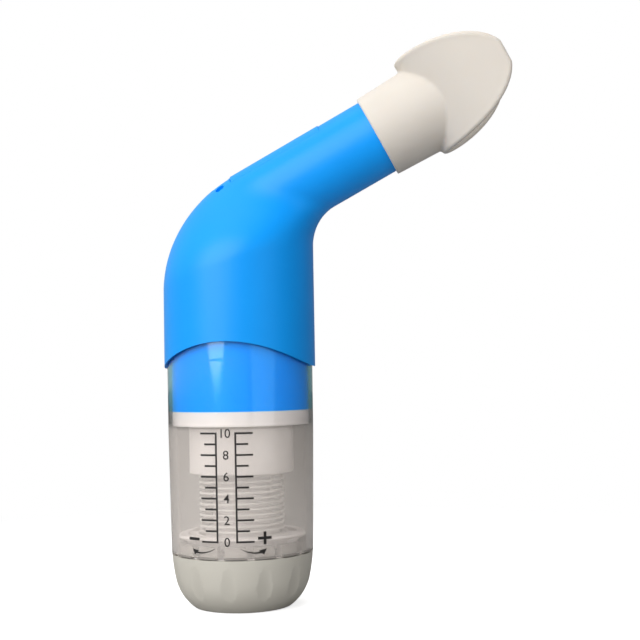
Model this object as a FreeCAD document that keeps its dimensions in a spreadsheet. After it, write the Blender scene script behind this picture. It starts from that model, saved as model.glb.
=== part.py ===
"""Hand-held breathing trainer with a spring load set by a knob, in millimetres.

The origin is the centre of the knob's flat base. Z runs up the chamber's axis
and X points to the mouthpiece. Pieces of the mouth tube are drawn along the
tube's own axis, which crosses the chamber's axis inside the bend.
"""
import FreeCAD, Part
import math
import os

import Sketcher

Vector = FreeCAD.Vector
Rotation = FreeCAD.Rotation
Placement = FreeCAD.Placement

doc = FreeCAD.newDocument("BreathingTrainer")
sheet = doc.addObject("Spreadsheet::Sheet", "Sizes")
parts_made = []


class Dim:
    """A length or angle that knows its number and the formula that drives it."""

    def __init__(self, value, text):
        self.value = value
        self.text = text

    def __add__(self, other):
        return combine(self, other, "+", lambda a, b: a + b)

    def __sub__(self, other):
        return combine(self, other, "-", lambda a, b: a - b)

    def __rsub__(self, other):
        return combine(other, self, "-", lambda a, b: a - b)

    def __mul__(self, other):
        return combine(self, other, "*", lambda a, b: a * b)

    def __truediv__(self, other):
        return combine(self, other, "/", lambda a, b: a / b)

    def __neg__(self):
        return 0 - self

    __radd__ = __add__
    __rmul__ = __mul__


def as_dim(item):
    return item if isinstance(item, Dim) else Dim(float(item), repr(float(item)))


def combine(first, second, sign, rule):
    a = as_dim(first)
    b = as_dim(second)
    return Dim(rule(a.value, b.value), f"({a.text} {sign} {b.text})")


def sine(angle):
    return Dim(math.sin(math.radians(angle.value)), f"sin({angle.text} * 1 deg)")


def cosine(angle):
    return Dim(math.cos(math.radians(angle.value)), f"cos({angle.text} * 1 deg)")


def size(name, value):
    """One driving size, kept in the sheet under its own name."""
    row = size.count = size.count + 1
    sheet.set(f"A{row}", name)
    sheet.set(f"B{row}", str(value))
    sheet.setAlias(f"B{row}", name)
    return Dim(float(value), f"Sizes.{name}")


size.count = 0

# Fits
running_fit = size("running_fit", 0.05)
seating_gap = size("seating_gap", 0.1)
soft_gap = size("soft_gap", 0.3)

# Adjuster knob
knob_height = size("knob_height", 18.2)
knob_rim_step = size("knob_rim_step", 0.1)
knob_side_inset = size("knob_side_inset", 1.1)
knob_side_level = size("knob_side_level", 10.0)
knob_base_inset = size("knob_base_inset", 7.4)
knob_side_curve = size("knob_side_curve", 60)
knob_base_curve = size("knob_base_curve", 16)
knob_wall = size("knob_wall", 1.9)
knob_rim_wall = size("knob_rim_wall", 2.5)
knob_floor = size("knob_floor", 2.6)
knob_ledge_level = size("knob_ledge_level", 14.6)
flute_radius = size("flute_radius", 6.0)
flute_depth = size("flute_depth", 1.0)
flute_count = size("flute_count", 12)
flute_top_level = size("flute_top_level", 16.4)
flute_lean = size("flute_lean", 15)
boss_radius = size("boss_radius", 6.0)
boss_height = size("boss_height", 9.0)
shaft_flats = size("shaft_flats", 5.0)
shaft_top_level = size("shaft_top_level", 59.2)
socket_floor = size("socket_floor", 1.2)
socket_gap = size("socket_gap", 0.02)

# Ring that closes the chamber's foot and carries the knob
rim_gap = size("rim_gap", 0.4)
ring_lip = size("ring_lip", 0.5)
ring_web = size("ring_web", 1.8)
ring_spigot = size("ring_spigot", 3.3)
ring_bore_gap = size("ring_bore_gap", 0.6)
skirt_wall = size("skirt_wall", 1.8)
skirt_drop = size("skirt_drop", 6.2)
clip_thickness = size("clip_thickness", 1.2)
clip_depth = size("clip_depth", 0.8)
clip_reach = size("clip_reach", 0.7)
washer_inset = size("washer_inset", 1.2)
clip_mouth = size("clip_mouth", 8)
washer_thickness = size("washer_thickness", 0.3)
air_slot_width = size("air_slot_width", 2.6)
air_slot_count = size("air_slot_count", 15)
air_slot_turn = size("air_slot_turn", 264)

# Clear chamber
chamber_length = size("chamber_length", 78.1)
chamber_foot_radius = size("chamber_foot_radius", 24.3)
chamber_foot_wall = size("chamber_foot_wall", 1.8)
chamber_shoulder_draft = size("chamber_shoulder_draft", 0.7)
chamber_shoulder_height = size("chamber_shoulder_height", 40.1)
chamber_top_draft = size("chamber_top_draft", 0.8)
chamber_top_wall = size("chamber_top_wall", 1.5)
catch_level = size("catch_level", 83.8)
catch_width = size("catch_width", 14)
catch_height = size("catch_height", 1.3)
catch_rise = size("catch_rise", 0.4)

# Spring guide, the white unit with the valve seat on top
band_level = size("band_level", 61.8)
band_height = size("band_height", 4.9)
guide_gap = size("guide_gap", 4.6)
guide_wall = size("guide_wall", 1.5)
guide_foot_level = size("guide_foot_level", 45.7)
ceiling_level = size("ceiling_level", 85.2)
ceiling_thickness = size("ceiling_thickness", 2)
ceiling_hub_wall = size("ceiling_hub_wall", 1.3)
window_width = size("window_width", 5.2)
window_count = size("window_count", 6)
seat_inset = size("seat_inset", 5.1)
seat_wall = size("seat_wall", 1.3)
seat_height = size("seat_height", 2.6)
bush_wall = size("bush_wall", 1.2)
bush_flange = size("bush_flange", 0.8)

# Blue inner body
sleeve_gap = size("sleeve_gap", 0.1)
sleeve_wall = size("sleeve_wall", 1.8)
sleeve_flange = size("sleeve_flange", 2.0)
ring_seal_drop = size("ring_seal_drop", 3.2)
seal_groove_depth = size("seal_groove_depth", 1.6)
seal_groove_height = size("seal_groove_height", 1.9)
seal_groove_foot = size("seal_groove_foot", 6)

# Spring, stem and carriage
level_travel = size("level_travel", 35)
carriage_level = size("carriage_level", 18.8)
carriage_floor = size("carriage_floor", 1.9)
carriage_gap = size("carriage_gap", 0.4)
nut_wall = size("nut_wall", 2.65)
nut_gap = size("nut_gap", 1.2)
nut_length = size("nut_length", 8)
pointer_top_level = size("pointer_top_level", 25.2)
pointer_height = size("pointer_height", 1.4)
pointer_inner_gap = size("pointer_inner_gap", 0.8)
pointer_outer_gap = size("pointer_outer_gap", 0.4)
spoke_width = size("spoke_width", 3.4)
slot_clearance = size("slot_clearance", 0.15)
spring_gap = size("spring_gap", 1.7)
wire = size("wire", 0.8)
coil_count = size("coil_count", 34)
spring_washer = size("spring_washer", 0.5)
stem_neck_radius = size("stem_neck_radius", 4.0)
stem_foot_level = size("stem_foot_level", 14.8)
stem_neck_level = size("stem_neck_level", 63.2)
valve_lift = size("valve_lift", 1.4)
poppet_overlap = size("poppet_overlap", 1.6)
poppet_thickness = size("poppet_thickness", 1.8)
poppet_hub_wall = size("poppet_hub_wall", 2.35)
poppet_hub_height = size("poppet_hub_height", 3.4)
seal_width = size("seal_width", 3.2)
seal_thickness = size("seal_thickness", 0.9)
cap_nut_wall = size("cap_nut_wall", 1.0)
cap_nut_height = size("cap_nut_height", 2.4)
stem_tip = size("stem_tip", 0.6)

# Blue handle cover: sleeve, bend and mouth tube in one moulding
cover_lap_wall = size("cover_lap_wall", 1.0)
cover_wall = size("cover_wall", 1.8)
arch_rise = size("arch_rise", 8.5)
arch_peak_level = size("arch_peak_level", 89.9)
bend_angle = size("bend_angle", 62)
bend_back_radius = size("bend_back_radius", 46)
bend_front_radius = size("bend_front_radius", 15)
bend_back_level = size("bend_back_level", 107.2)
tube_radius = size("tube_radius", 13.35)
tube_end = size("tube_end", 68.4)

# Exhale valve on top of the mouth tube
plate_start = size("plate_start", 4.9)
plate_length = size("plate_length", 35)
plate_rise = size("plate_rise", 0.35)
plate_thickness = size("plate_thickness", 1.0)
plate_half_angle = size("plate_half_angle", 41)
plate_slack = size("plate_slack", 0.35)
plate_crown = size("plate_crown", 1.3)
tray_length = size("tray_length", 31)
tray_width = size("tray_width", 15.6)
tray_depth = size("tray_depth", 6.45)
tray_wall = size("tray_wall", 1.2)
tray_floor = size("tray_floor", 1.5)
port_length = size("port_length", 15)
port_width = size("port_width", 2.6)
port_count = size("port_count", 3)
flap_length = size("flap_length", 20)
flap_width = size("flap_width", 11.6)
flap_thickness = size("flap_thickness", 0.7)
flap_gap = size("flap_gap", 0.2)
clamp_width = size("clamp_width", 3)
scoop_radius = size("scoop_radius", 5.5)
scoop_width = size("scoop_width", 10)
scoop_depth = size("scoop_depth", 2.25)
scoop_offset = size("scoop_offset", 4.6)
scoop_floor = size("scoop_floor", 1.6)
dimple_radius = size("dimple_radius", 1.7)
dimple_angle = size("dimple_angle", 38)
dimple_floor = size("dimple_floor", 11.9)
port_margin = size("port_margin", 3)
clamp_height = size("clamp_height", 1.2)

# Mouthpiece, one soft moulding
collar_start = size("collar_start", 55.9)
collar_length = size("collar_length", 17)
collar_wall = size("collar_wall", 1.15)
collar_flare = size("collar_flare", 0.8)
collar_reach = size("collar_reach", 8.5)
lip_depth = size("lip_depth", 32)
lip_half_width = size("lip_half_width", 21.7)
lip_wall = size("lip_wall", 2.0)
lip_half_height = size("lip_half_height", 17.9)
lip_reach = size("lip_reach", 33.2)
lip_base_shift = size("lip_base_shift", 1)
lip_lift = size("lip_lift", 1.0)
mouthpiece_turn = size("mouthpiece_turn", 6.5)
airway_width = size("airway_width", 20)
airway_height = size("airway_height", 12)
tab_length = size("tab_length", 12)
tab_thickness = size("tab_thickness", 3.0)
tab_height = size("tab_height", 8)
tab_spacing = size("tab_spacing", 25)
tab_start = size("tab_start", 7.2)

doc.recompute()

# Radii that follow from the driving sizes, from the chamber's foot outwards and inwards
knob_rim_radius = chamber_foot_radius - knob_rim_step
knob_side_radius = knob_rim_radius - knob_side_inset
knob_base_radius = knob_rim_radius - knob_base_inset
skirt_radius = knob_rim_radius - knob_rim_wall - seating_gap
chamber_bore = chamber_foot_radius - chamber_foot_wall
chamber_shoulder_radius = chamber_foot_radius + chamber_shoulder_draft
chamber_top_radius = chamber_foot_radius + chamber_top_draft
chamber_seat_bore = chamber_top_radius - chamber_top_wall
sleeve_radius = chamber_seat_bore - sleeve_gap
guide_radius = chamber_bore - guide_gap
guide_bore = guide_radius - guide_wall
carriage_radius = guide_bore - carriage_gap
pointer_inner_radius = guide_radius + pointer_inner_gap
pointer_radius = chamber_bore - pointer_outer_gap
spring_mean_radius = guide_bore - spring_gap - wire / 2
ring_bore_radius = carriage_radius + ring_bore_gap
nut_radius = spring_mean_radius - wire / 2 - nut_gap
stem_radius = nut_radius - nut_wall - running_fit
seat_radius = guide_radius - seat_inset
poppet_radius = seat_radius + poppet_overlap
poppet_hub_radius = stem_neck_radius + running_fit + poppet_hub_wall
cap_nut_flats = 2 * (stem_neck_radius + cap_nut_wall)
cover_radius = chamber_top_radius + cover_lap_wall
arch_radius = (cover_radius * cover_radius + arch_rise * arch_rise) / (2 * arch_rise)
tray_level = tube_radius - tray_depth
scoop_level = tube_radius - scoop_depth
collar_radius = tube_radius + seating_gap + collar_wall

# Levels that follow from the driving sizes
ring_level = knob_height + rim_gap
chamber_foot = ring_level + ring_lip
web_top = ring_level + ring_web
chamber_top = chamber_foot + chamber_length
chamber_shoulder_level = chamber_foot + chamber_shoulder_height
ceiling_top = ceiling_level + ceiling_thickness
seat_top = ceiling_top + seat_height
sleeve_foot = band_level + band_height
sleeve_top = chamber_top + sleeve_flange
cover_step = sleeve_top + seating_gap
carriage_seat = carriage_level + carriage_floor
poppet_level = seat_top + soft_gap + seal_thickness
stem_top = poppet_level + poppet_hub_height + seating_gap + cap_nut_height + stem_tip
bend_cos = cosine(bend_angle)
bend_sin = sine(bend_angle)
bend_front_level = bend_back_level + (
    2 * bend_cos * cover_radius
    + (bend_back_radius - bend_front_radius) * (1 - bend_cos)
    - 2 * tube_radius
) / bend_sin
tube_cross_level = (
    (bend_back_radius + bend_front_radius) * (1 - bend_cos)
    + bend_sin * (bend_back_level + bend_front_level)
) / (2 * bend_sin)
tube_rise = 90 - bend_angle


def bind(item, **values):
    """Drive properties of an object from the sheet."""
    for name, value in values.items():
        dim = as_dim(value)
        item.setExpression(name, dim.text)


def place(item, x=0, y=0, z=0):
    """Drive an object's position from the sheet."""
    for axis, value in zip("xyz", (x, y, z)):
        item.setExpression(f"Placement.Base.{axis}", as_dim(value).text)


def finish(item, name):
    """Give a sub-part its name and put it on the list of pieces."""
    item.Label = name
    parts_made.append(item)
    return item


def origin_feature(body, role):
    for feature in body.Origin.OriginFeatures:
        if feature.Role == role:
            return feature
    raise ValueError(role)


def new_body(name):
    """An empty body for sketches and their features."""
    return doc.addObject("PartDesign::Body", name + "_body")


def new_sketch(body, name, role, offset=0):
    sketch = body.newObject("Sketcher::SketchObject", name)
    sketch.AttachmentSupport = [(origin_feature(body, role), "")]
    sketch.MapMode = "FlatFace"
    sketch.setExpression("AttachmentOffset.Base.z", as_dim(offset).text)
    return sketch


def pin_point(sketch, geometry, end, across, up):
    """Hold a sketch point at driven distances from the sketch's origin."""
    for kind, value in (("DistanceX", across), ("DistanceY", up)):
        dim = as_dim(value)
        number = sketch.addConstraint(Sketcher.Constraint(kind, -1, 1, geometry, end, dim.value))
        sketch.setExpression(f"Constraints[{number}]", dim.text)


def draw_loop(sketch, corners):
    """Closed outline; a corner with a third entry is reached by an arc of that radius."""
    count = len(corners)
    for index in range(count):
        start = [as_dim(value) for value in corners[index][:2]]
        stop = [as_dim(value) for value in corners[(index + 1) % count][:2]]
        curve = corners[(index + 1) % count][2:]
        first = Vector(start[0].value, start[1].value, 0)
        last = Vector(stop[0].value, stop[1].value, 0)
        if curve:
            radius = as_dim(curve[0])
            chord = last - first
            half = chord.Length / 2
            sagitta = radius.value - math.sqrt(radius.value ** 2 - half ** 2)
            outward = Vector(chord.y, -chord.x, 0).normalize()
            middle = (first + last) / 2 + outward * sagitta
            sketch.addGeometry(Part.Arc(first, middle, last))
            number = sketch.addConstraint(Sketcher.Constraint("Radius", index, radius.value))
            sketch.setExpression(f"Constraints[{number}]", radius.text)
        else:
            sketch.addGeometry(Part.LineSegment(first, last))
    for index in range(count):
        sketch.addConstraint(Sketcher.Constraint("Coincident", index, 2, (index + 1) % count, 1))
        pin_point(sketch, index, 1, corners[index][0], corners[index][1])


def turned(name, corners):
    """A turned piece: its half section about the Z axis."""
    body = new_body(name)
    sketch = new_sketch(body, name + "_section", "XZ_Plane")
    draw_loop(sketch, corners)
    turn = body.newObject("PartDesign::Revolution", name + "_turn")
    turn.Profile = sketch
    turn.ReferenceAxis = (sketch, ["V_Axis"])
    turn.Angle = 360
    doc.recompute()
    return body


def pattern(body, feature, count):
    """Repeat a feature evenly about the Z axis."""
    ring = body.newObject("PartDesign::PolarPattern", feature.Name + "_ring")
    ring.Originals = [feature]
    ring.Axis = (origin_feature(body, "Z_Axis"), [""])
    ring.Angle = 360
    ring.setExpression("Occurrences", count.text)
    body.Tip = ring
    doc.recompute()
    return ring


def rectangle(sketch, left, low, right, high):
    draw_loop(sketch, [(left, low), (right, low), (right, high), (left, high)])


def block(name, length, width, height):
    box = doc.addObject("Part::Box", name)
    bind(box, Length=length, Width=width, Height=height)
    return box


def rod(name, radius, height):
    cylinder = doc.addObject("Part::Cylinder", name)
    bind(cylinder, Radius=radius, Height=height)
    return cylinder


def cut(name, base, tool):
    result = doc.addObject("Part::Cut", name)
    result.Base = base
    result.Tool = tool
    return result


def fuse(name, shapes):
    result = doc.addObject("Part::MultiFuse", name)
    result.Shapes = shapes
    return result


def common(name, shapes):
    result = doc.addObject("Part::MultiCommon", name)
    result.Shapes = shapes
    return result


def ring_section(inner, outer, low, high):
    return [(inner, low), (outer, low), (outer, high), (inner, high)]


# The knob and what turns with it

def make_knob():
    """Fluted cup with a hexagonal socket boss in its floor."""
    inner_rim = skirt_radius + seating_gap
    cavity = skirt_radius + clip_reach + seating_gap
    body = turned("adjuster_knob", [
        (0, 0),
        (knob_base_radius, 0),
        (knob_side_radius, knob_side_level, knob_base_curve),
        (knob_rim_radius, knob_height, knob_side_curve),
        (inner_rim, knob_height),
        (inner_rim, knob_ledge_level),
        (cavity, knob_ledge_level),
        (cavity, knob_side_level + knob_wall),
        (knob_base_radius - knob_wall, knob_floor),
        (boss_radius, knob_floor),
        (boss_radius, knob_floor + boss_height),
        (0, knob_floor + boss_height),
    ])
    socket = new_sketch(body, "socket_outline", "XY_Plane", knob_floor + boss_height)
    hexagon(socket, shaft_flats + 2 * socket_gap)
    pocket(body, "socket_cut", socket, boss_height + knob_floor - socket_floor, False)
    flute = new_sketch(body, "flute_outline", "XY_Plane", flute_top_level)
    flute.AttachmentOffset = Placement(Vector(0, 0, 0), Rotation(Vector(0, 1, 0), flute_lean.value))
    flute.setExpression("AttachmentOffset.Rotation.Angle", flute_lean.text)
    flute.setExpression("AttachmentOffset.Base.x", knob_rim_radius.text)
    flute.addGeometry(Part.Circle(Vector(flute_radius.value, 0, 0), Vector(0, 0, 1),
                                  flute_radius.value))
    pin_point(flute, 0, 3, flute_radius, 0)
    number = flute.addConstraint(Sketcher.Constraint("Radius", 0, flute_radius.value))
    flute.setExpression(f"Constraints[{number}]", flute_radius.text)
    cutter = pocket(body, "flute_cut", flute, knob_height * 2, False)
    pattern(body, cutter, flute_count)
    return finish(body, "adjuster_knob")


def hexagon(sketch, flats):
    """Regular hexagon about the origin, given across its flats."""
    corner = flats / (2 * cosine(as_dim(30)))
    points = []
    for step in range(6):
        angle = as_dim(60 * step)
        points.append((corner * cosine(angle), corner * sine(angle)))
    draw_loop(sketch, points)


def pocket(body, name, sketch, depth, upward):
    """Cut a sketch into the body, and make sure that something is removed."""
    before = body.Shape.Volume
    feature = body.newObject("PartDesign::Pocket", name)
    feature.Profile = sketch
    feature.setExpression("Length", as_dim(depth).text)
    feature.Reversed = upward
    doc.recompute()
    if not body.Shape.Volume < before - 1e-6:
        raise ValueError(name)
    return feature


def pad(body, name, sketch, height):
    feature = body.newObject("PartDesign::Pad", name)
    feature.Profile = sketch
    feature.setExpression("Length", as_dim(height).text)
    doc.recompute()
    return feature


def make_drive_shaft():
    """Hexagonal bar that turns the stem and lets it rise."""
    body = new_body("knob_drive_shaft")
    sketch = new_sketch(body, "shaft_outline", "XY_Plane", socket_floor)
    hexagon(sketch, shaft_flats)
    pad(body, "shaft_bar", sketch, shaft_top_level - socket_floor)
    return finish(body, "knob_drive_shaft")


# The fixed pieces of the chamber

def make_base_ring():
    """Ring with air slots; its skirt is the knob's bearing."""
    groove_top = knob_ledge_level - seating_gap
    groove_low = groove_top - clip_thickness - seating_gap
    skirt_low = ring_level - skirt_drop
    groove_floor = skirt_radius - clip_depth
    body = turned("chamber_base_ring", [
        (skirt_radius - skirt_wall, skirt_low),
        (skirt_radius, skirt_low),
        (skirt_radius, groove_low),
        (groove_floor, groove_low),
        (groove_floor, groove_top),
        (skirt_radius, groove_top),
        (skirt_radius, ring_level),
        (chamber_foot_radius, ring_level),
        (chamber_foot_radius, chamber_foot),
        (chamber_bore - running_fit, chamber_foot),
        (chamber_bore - running_fit, chamber_foot + ring_spigot),
        (skirt_radius - skirt_wall, chamber_foot + ring_spigot),
        (skirt_radius - skirt_wall, web_top),
        (ring_bore_radius, web_top),
        (ring_bore_radius, ring_level),
        (skirt_radius - skirt_wall, ring_level),
    ])
    slot = new_sketch(body, "air_slot_outline", "XY_Plane", ring_level)
    half = air_slot_width / 2
    rectangle(slot, ring_bore_radius + 1, -half, chamber_foot_radius + 1, half)
    cutter = pocket(body, "air_slot_cut", slot, ring_lip + ring_spigot + 1, True)
    pattern(body, cutter, air_slot_count)
    body.setExpression("Placement.Rotation.Angle", air_slot_turn.text)
    return finish(body, "chamber_base_ring")


def make_clip():
    """Open spring ring that keeps the knob on the skirt."""
    top = knob_ledge_level - seating_gap - seating_gap / 2
    low = top - clip_thickness
    inner = skirt_radius - clip_depth + seating_gap
    body = turned("knob_retaining_ring",
                  ring_section(inner, skirt_radius + clip_reach, low, top))
    mouth = new_sketch(body, "clip_mouth_outline", "XY_Plane", low)
    rectangle(mouth, inner - 1, -clip_mouth / 2, skirt_radius + clip_reach + 1, clip_mouth / 2)
    pocket(body, "clip_mouth_cut", mouth, clip_thickness + 1, True)
    body.Placement = Placement(Vector(0, 0, 0), Rotation(Vector(0, 0, 1), 90))
    return finish(body, "knob_retaining_ring")


def make_friction_washer():
    low = knob_height + (rim_gap - washer_thickness) / 2
    body = turned("knob_friction_washer", ring_section(
        skirt_radius + seating_gap, knob_rim_radius - washer_inset, low, low + washer_thickness))
    return finish(body, "knob_friction_washer")


def make_chamber():
    """Clear tapered wall with an inner ledge and a small lens-shaped catch."""
    body = turned("chamber_tube", [
        (chamber_bore, chamber_foot),
        (chamber_foot_radius, chamber_foot),
        (chamber_shoulder_radius, chamber_shoulder_level),
        (chamber_top_radius, catch_level - catch_height * 2),
        (chamber_top_radius, chamber_top),
        (chamber_seat_bore, chamber_top),
        (chamber_seat_bore, band_level),
        (chamber_bore, band_level),
    ])
    lens = new_sketch(body, "catch_outline", "XZ_Plane", chamber_top_radius - 1)
    half = catch_width / 2
    rise = catch_height / 2
    curve = (half * half + rise * rise) / (2 * rise)
    draw_loop(lens, [(-half, catch_level, curve), (half, catch_level, curve)])
    pad(body, "catch_bead", lens, 1 + catch_rise)
    return finish(body, "chamber_tube")


def make_guide():
    """Spring tube with the clamped band, ceiling windows and the valve seat lip."""
    inner = guide_bore
    bush_seat = stem_neck_radius + running_fit + bush_wall + running_fit
    body = turned("spring_guide", [
        (inner, guide_foot_level),
        (guide_radius, guide_foot_level),
        (guide_radius, band_level),
        (chamber_seat_bore - running_fit, band_level),
        (chamber_seat_bore - running_fit, sleeve_foot),
        (guide_radius, sleeve_foot),
        (guide_radius, ceiling_top),
        (seat_radius, ceiling_top),
        (seat_radius, seat_top),
        (seat_radius - seat_wall, seat_top),
        (seat_radius - seat_wall, ceiling_top),
        (bush_seat, ceiling_top),
        (bush_seat, ceiling_level),
        (inner, ceiling_level),
    ])
    window = new_sketch(body, "window_outline", "XY_Plane", ceiling_level)
    reach = seat_radius - seat_wall - 0.4
    near = bush_seat + ceiling_hub_wall
    rectangle(window, near, -window_width / 2, reach, window_width / 2)
    cutter = pocket(body, "window_cut", window, ceiling_thickness + 0.5, True)
    pattern(body, cutter, window_count)
    slot = new_sketch(body, "spoke_slot_outline", "XY_Plane", guide_foot_level)
    half = spoke_width / 2 + slot_clearance
    rectangle(slot, -guide_radius - 1, -half, guide_radius + 1, half)
    pocket(body, "spoke_slot_cut", slot, band_level - guide_foot_level, True)
    return finish(body, "spring_guide")


def make_guide_bush():
    """Plain bearing of the stem in the ceiling."""
    bore = stem_neck_radius + running_fit
    outer = bore + bush_wall
    body = turned("stem_guide_bush", [
        (bore, ceiling_level - bush_flange),
        (outer + bush_flange, ceiling_level - bush_flange),
        (outer + bush_flange, ceiling_level),
        (outer, ceiling_level),
        (outer, ceiling_top),
        (bore, ceiling_top),
    ])
    return finish(body, "stem_guide_bush")


def make_inner_body():
    """Blue tube between the band and the top of the chamber, with a groove for its seal."""
    bore = sleeve_radius - sleeve_wall
    throat = bore - seal_groove_depth
    groove_top = chamber_top - ring_seal_drop + seal_groove_height / 2
    groove_low = groove_top - seal_groove_height
    body = turned("inner_body", [
        (bore, sleeve_foot),
        (sleeve_radius, sleeve_foot),
        (sleeve_radius, groove_low),
        (sleeve_radius - seal_groove_depth, groove_low),
        (sleeve_radius - seal_groove_depth, groove_top),
        (sleeve_radius, groove_top),
        (sleeve_radius, chamber_top),
        (chamber_top_radius - seating_gap, chamber_top),
        (chamber_top_radius - seating_gap, sleeve_top),
        (throat, sleeve_top),
        (throat, groove_low - sleeve_wall),
        (bore, groove_low - seal_groove_foot),
    ])
    return finish(body, "inner_body")


def make_seal_ring():
    """Soft ring, with its corners taken off, between the inner body and the chamber."""
    inner = sleeve_radius - seal_groove_depth + seating_gap
    outer = chamber_seat_bore - seating_gap / 2
    middle = chamber_top - ring_seal_drop
    half = (outer - inner) / 2
    corner = half * 0.4
    ring = turned("chamber_seal_ring", [
        (inner, middle - corner),
        (inner + half - corner, middle - half),
        (outer - half + corner, middle - half),
        (outer, middle - corner),
        (outer, middle + corner),
        (outer - half + corner, middle + half),
        (inner + half - corner, middle + half),
        (inner, middle + corner),
    ])
    return finish(ring, "chamber_seal_ring")


# The valve train

def make_stem():
    """Hollow screw stem with a smooth neck; its bore is hexagonal."""
    body = turned("threaded_stem", [
        (0, stem_foot_level),
        (stem_radius, stem_foot_level),
        (stem_radius, stem_neck_level - 1.5),
        (stem_neck_radius, stem_neck_level + 1),
        (stem_neck_radius, stem_top),
        (0, stem_top),
    ])
    bore = new_sketch(body, "stem_bore_outline", "XY_Plane", stem_foot_level)
    hexagon(bore, shaft_flats + 2 * seating_gap)
    pocket(body, "stem_bore_cut", bore, shaft_top_level - stem_foot_level + 1, True)
    return finish(body, "threaded_stem")


def make_poppet():
    """Valve disc with a hub round the stem's neck."""
    bore = stem_neck_radius + running_fit
    body = turned("poppet_disc", [
        (bore, poppet_level),
        (poppet_radius, poppet_level),
        (poppet_radius, poppet_level + poppet_thickness),
        (poppet_hub_radius, poppet_level + poppet_thickness),
        (poppet_hub_radius, poppet_level + poppet_hub_height),
        (bore, poppet_level + poppet_hub_height),
    ])
    return finish(body, "poppet_disc")


def make_poppet_seal():
    """Soft ring under the disc, over the seat lip."""
    outer = poppet_radius - 0.2
    body = turned("poppet_seal", ring_section(
        outer - seal_width, outer, poppet_level - seal_thickness, poppet_level))
    return finish(body, "poppet_seal")


def make_cap_nut():
    """Hexagonal nut that holds the poppet on the stem."""
    low = poppet_level + poppet_hub_height + seating_gap
    body = new_body("poppet_cap_nut")
    sketch = new_sketch(body, "cap_nut_outline", "XY_Plane", low)
    hexagon(sketch, cap_nut_flats)
    pad(body, "cap_nut_block", sketch, cap_nut_height)
    hole = new_sketch(body, "cap_nut_hole", "XY_Plane", low)
    hole.addGeometry(Part.Circle(Vector(0, 0, 0), Vector(0, 0, 1), stem_neck_radius.value))
    hole.addConstraint(Sketcher.Constraint("Coincident", 0, 3, -1, 1))
    number = hole.addConstraint(Sketcher.Constraint("Radius", 0, stem_neck_radius.value))
    hole.setExpression(f"Constraints[{number}]", (stem_neck_radius + running_fit).text)
    pocket(body, "cap_nut_bore", hole, cap_nut_height + 1, True)
    return finish(body, "poppet_cap_nut")


def make_carriage():
    """Nut with the spring's seat, two spokes and the pointer ring."""
    spoke_top = pointer_top_level - 0.2
    spoke_low = web_top + soft_gap
    track = spring_mean_radius + wire
    inside = track + 0.4
    seat = turned("carriage_seat", [
        (stem_radius + running_fit, carriage_level),
        (carriage_radius, carriage_level),
        (carriage_radius, spoke_top),
        (track, spoke_top),
        (track, carriage_seat),
        (nut_radius, carriage_seat),
        (nut_radius, carriage_level + nut_length),
        (stem_radius + running_fit, carriage_level + nut_length),
    ])
    pointer_low = pointer_top_level - pointer_height
    middle = (pointer_top_level + pointer_low) / 2
    ring = turned("carriage_pointer", [
        (pointer_inner_radius, pointer_low),
        (pointer_radius - pointer_height / 2, pointer_low),
        (pointer_radius, middle),
        (pointer_radius - pointer_height / 2, pointer_top_level),
        (pointer_inner_radius, pointer_top_level),
    ])
    spokes = []
    for side in (-1, 1):
        spoke = block(f"carriage_spoke_{side + 2}",
                      pointer_inner_radius + 0.5 - inside, spoke_width, spoke_top - spoke_low)
        start = inside if side > 0 else -pointer_inner_radius - 0.5
        place(spoke, x=start, y=-spoke_width / 2, z=spoke_low)
        spokes.append(spoke)
    carriage = fuse("carriage_whole", [seat, ring] + spokes)
    return finish(carriage, "spring_carriage")


def make_spring():
    """Compression coil of square-set wire, twelve runs to the turn."""
    low = carriage_seat.value + wire.value / 2
    high = (ceiling_level - spring_washer).value - wire.value / 2
    turns = int(round(coil_count.value))
    steps = 12
    half = wire.value / 2
    mean = spring_mean_radius.value
    loops = []
    for step in range(turns * steps + 1):
        share = step / (turns * steps)
        angle = 2 * math.pi * step / steps
        level = low + (high - low) * share
        loop = []
        for across, up in ((-half, 0), (0, -half), (half, 0), (0, half)):
            radius = mean + across
            loop.append(Vector(radius * math.cos(angle), radius * math.sin(angle), level + up))
        loops.append(loop)
    faces = []
    for first, second in zip(loops, loops[1:]):
        for side in range(4):
            a, b = first[side], first[(side + 1) % 4]
            c, d = second[(side + 1) % 4], second[side]
            for corners in ((a, b, c), (a, c, d)):
                faces.append(Part.Face(Part.makePolygon([*corners, corners[0]])))
    for loop in (loops[0], loops[-1]):
        faces.append(Part.Face(Part.makePolygon([*loop, loop[0]])))
    shell = Part.makeShell(faces)
    shell.sewShape()
    solid = Part.makeSolid(shell)
    if solid.Volume < 0:
        solid.reverse()
    spring = doc.addObject("Part::Feature", "load_spring_coil")
    spring.Shape = solid
    return finish(spring, "load_spring")


def make_spring_washer():
    inner = spring_mean_radius - wire
    body = turned("spring_top_washer", ring_section(
        inner, guide_bore - seating_gap,
        ceiling_level - spring_washer, ceiling_level))
    return finish(body, "spring_top_washer")


# The blue cover with the bend and the mouth tube

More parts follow.
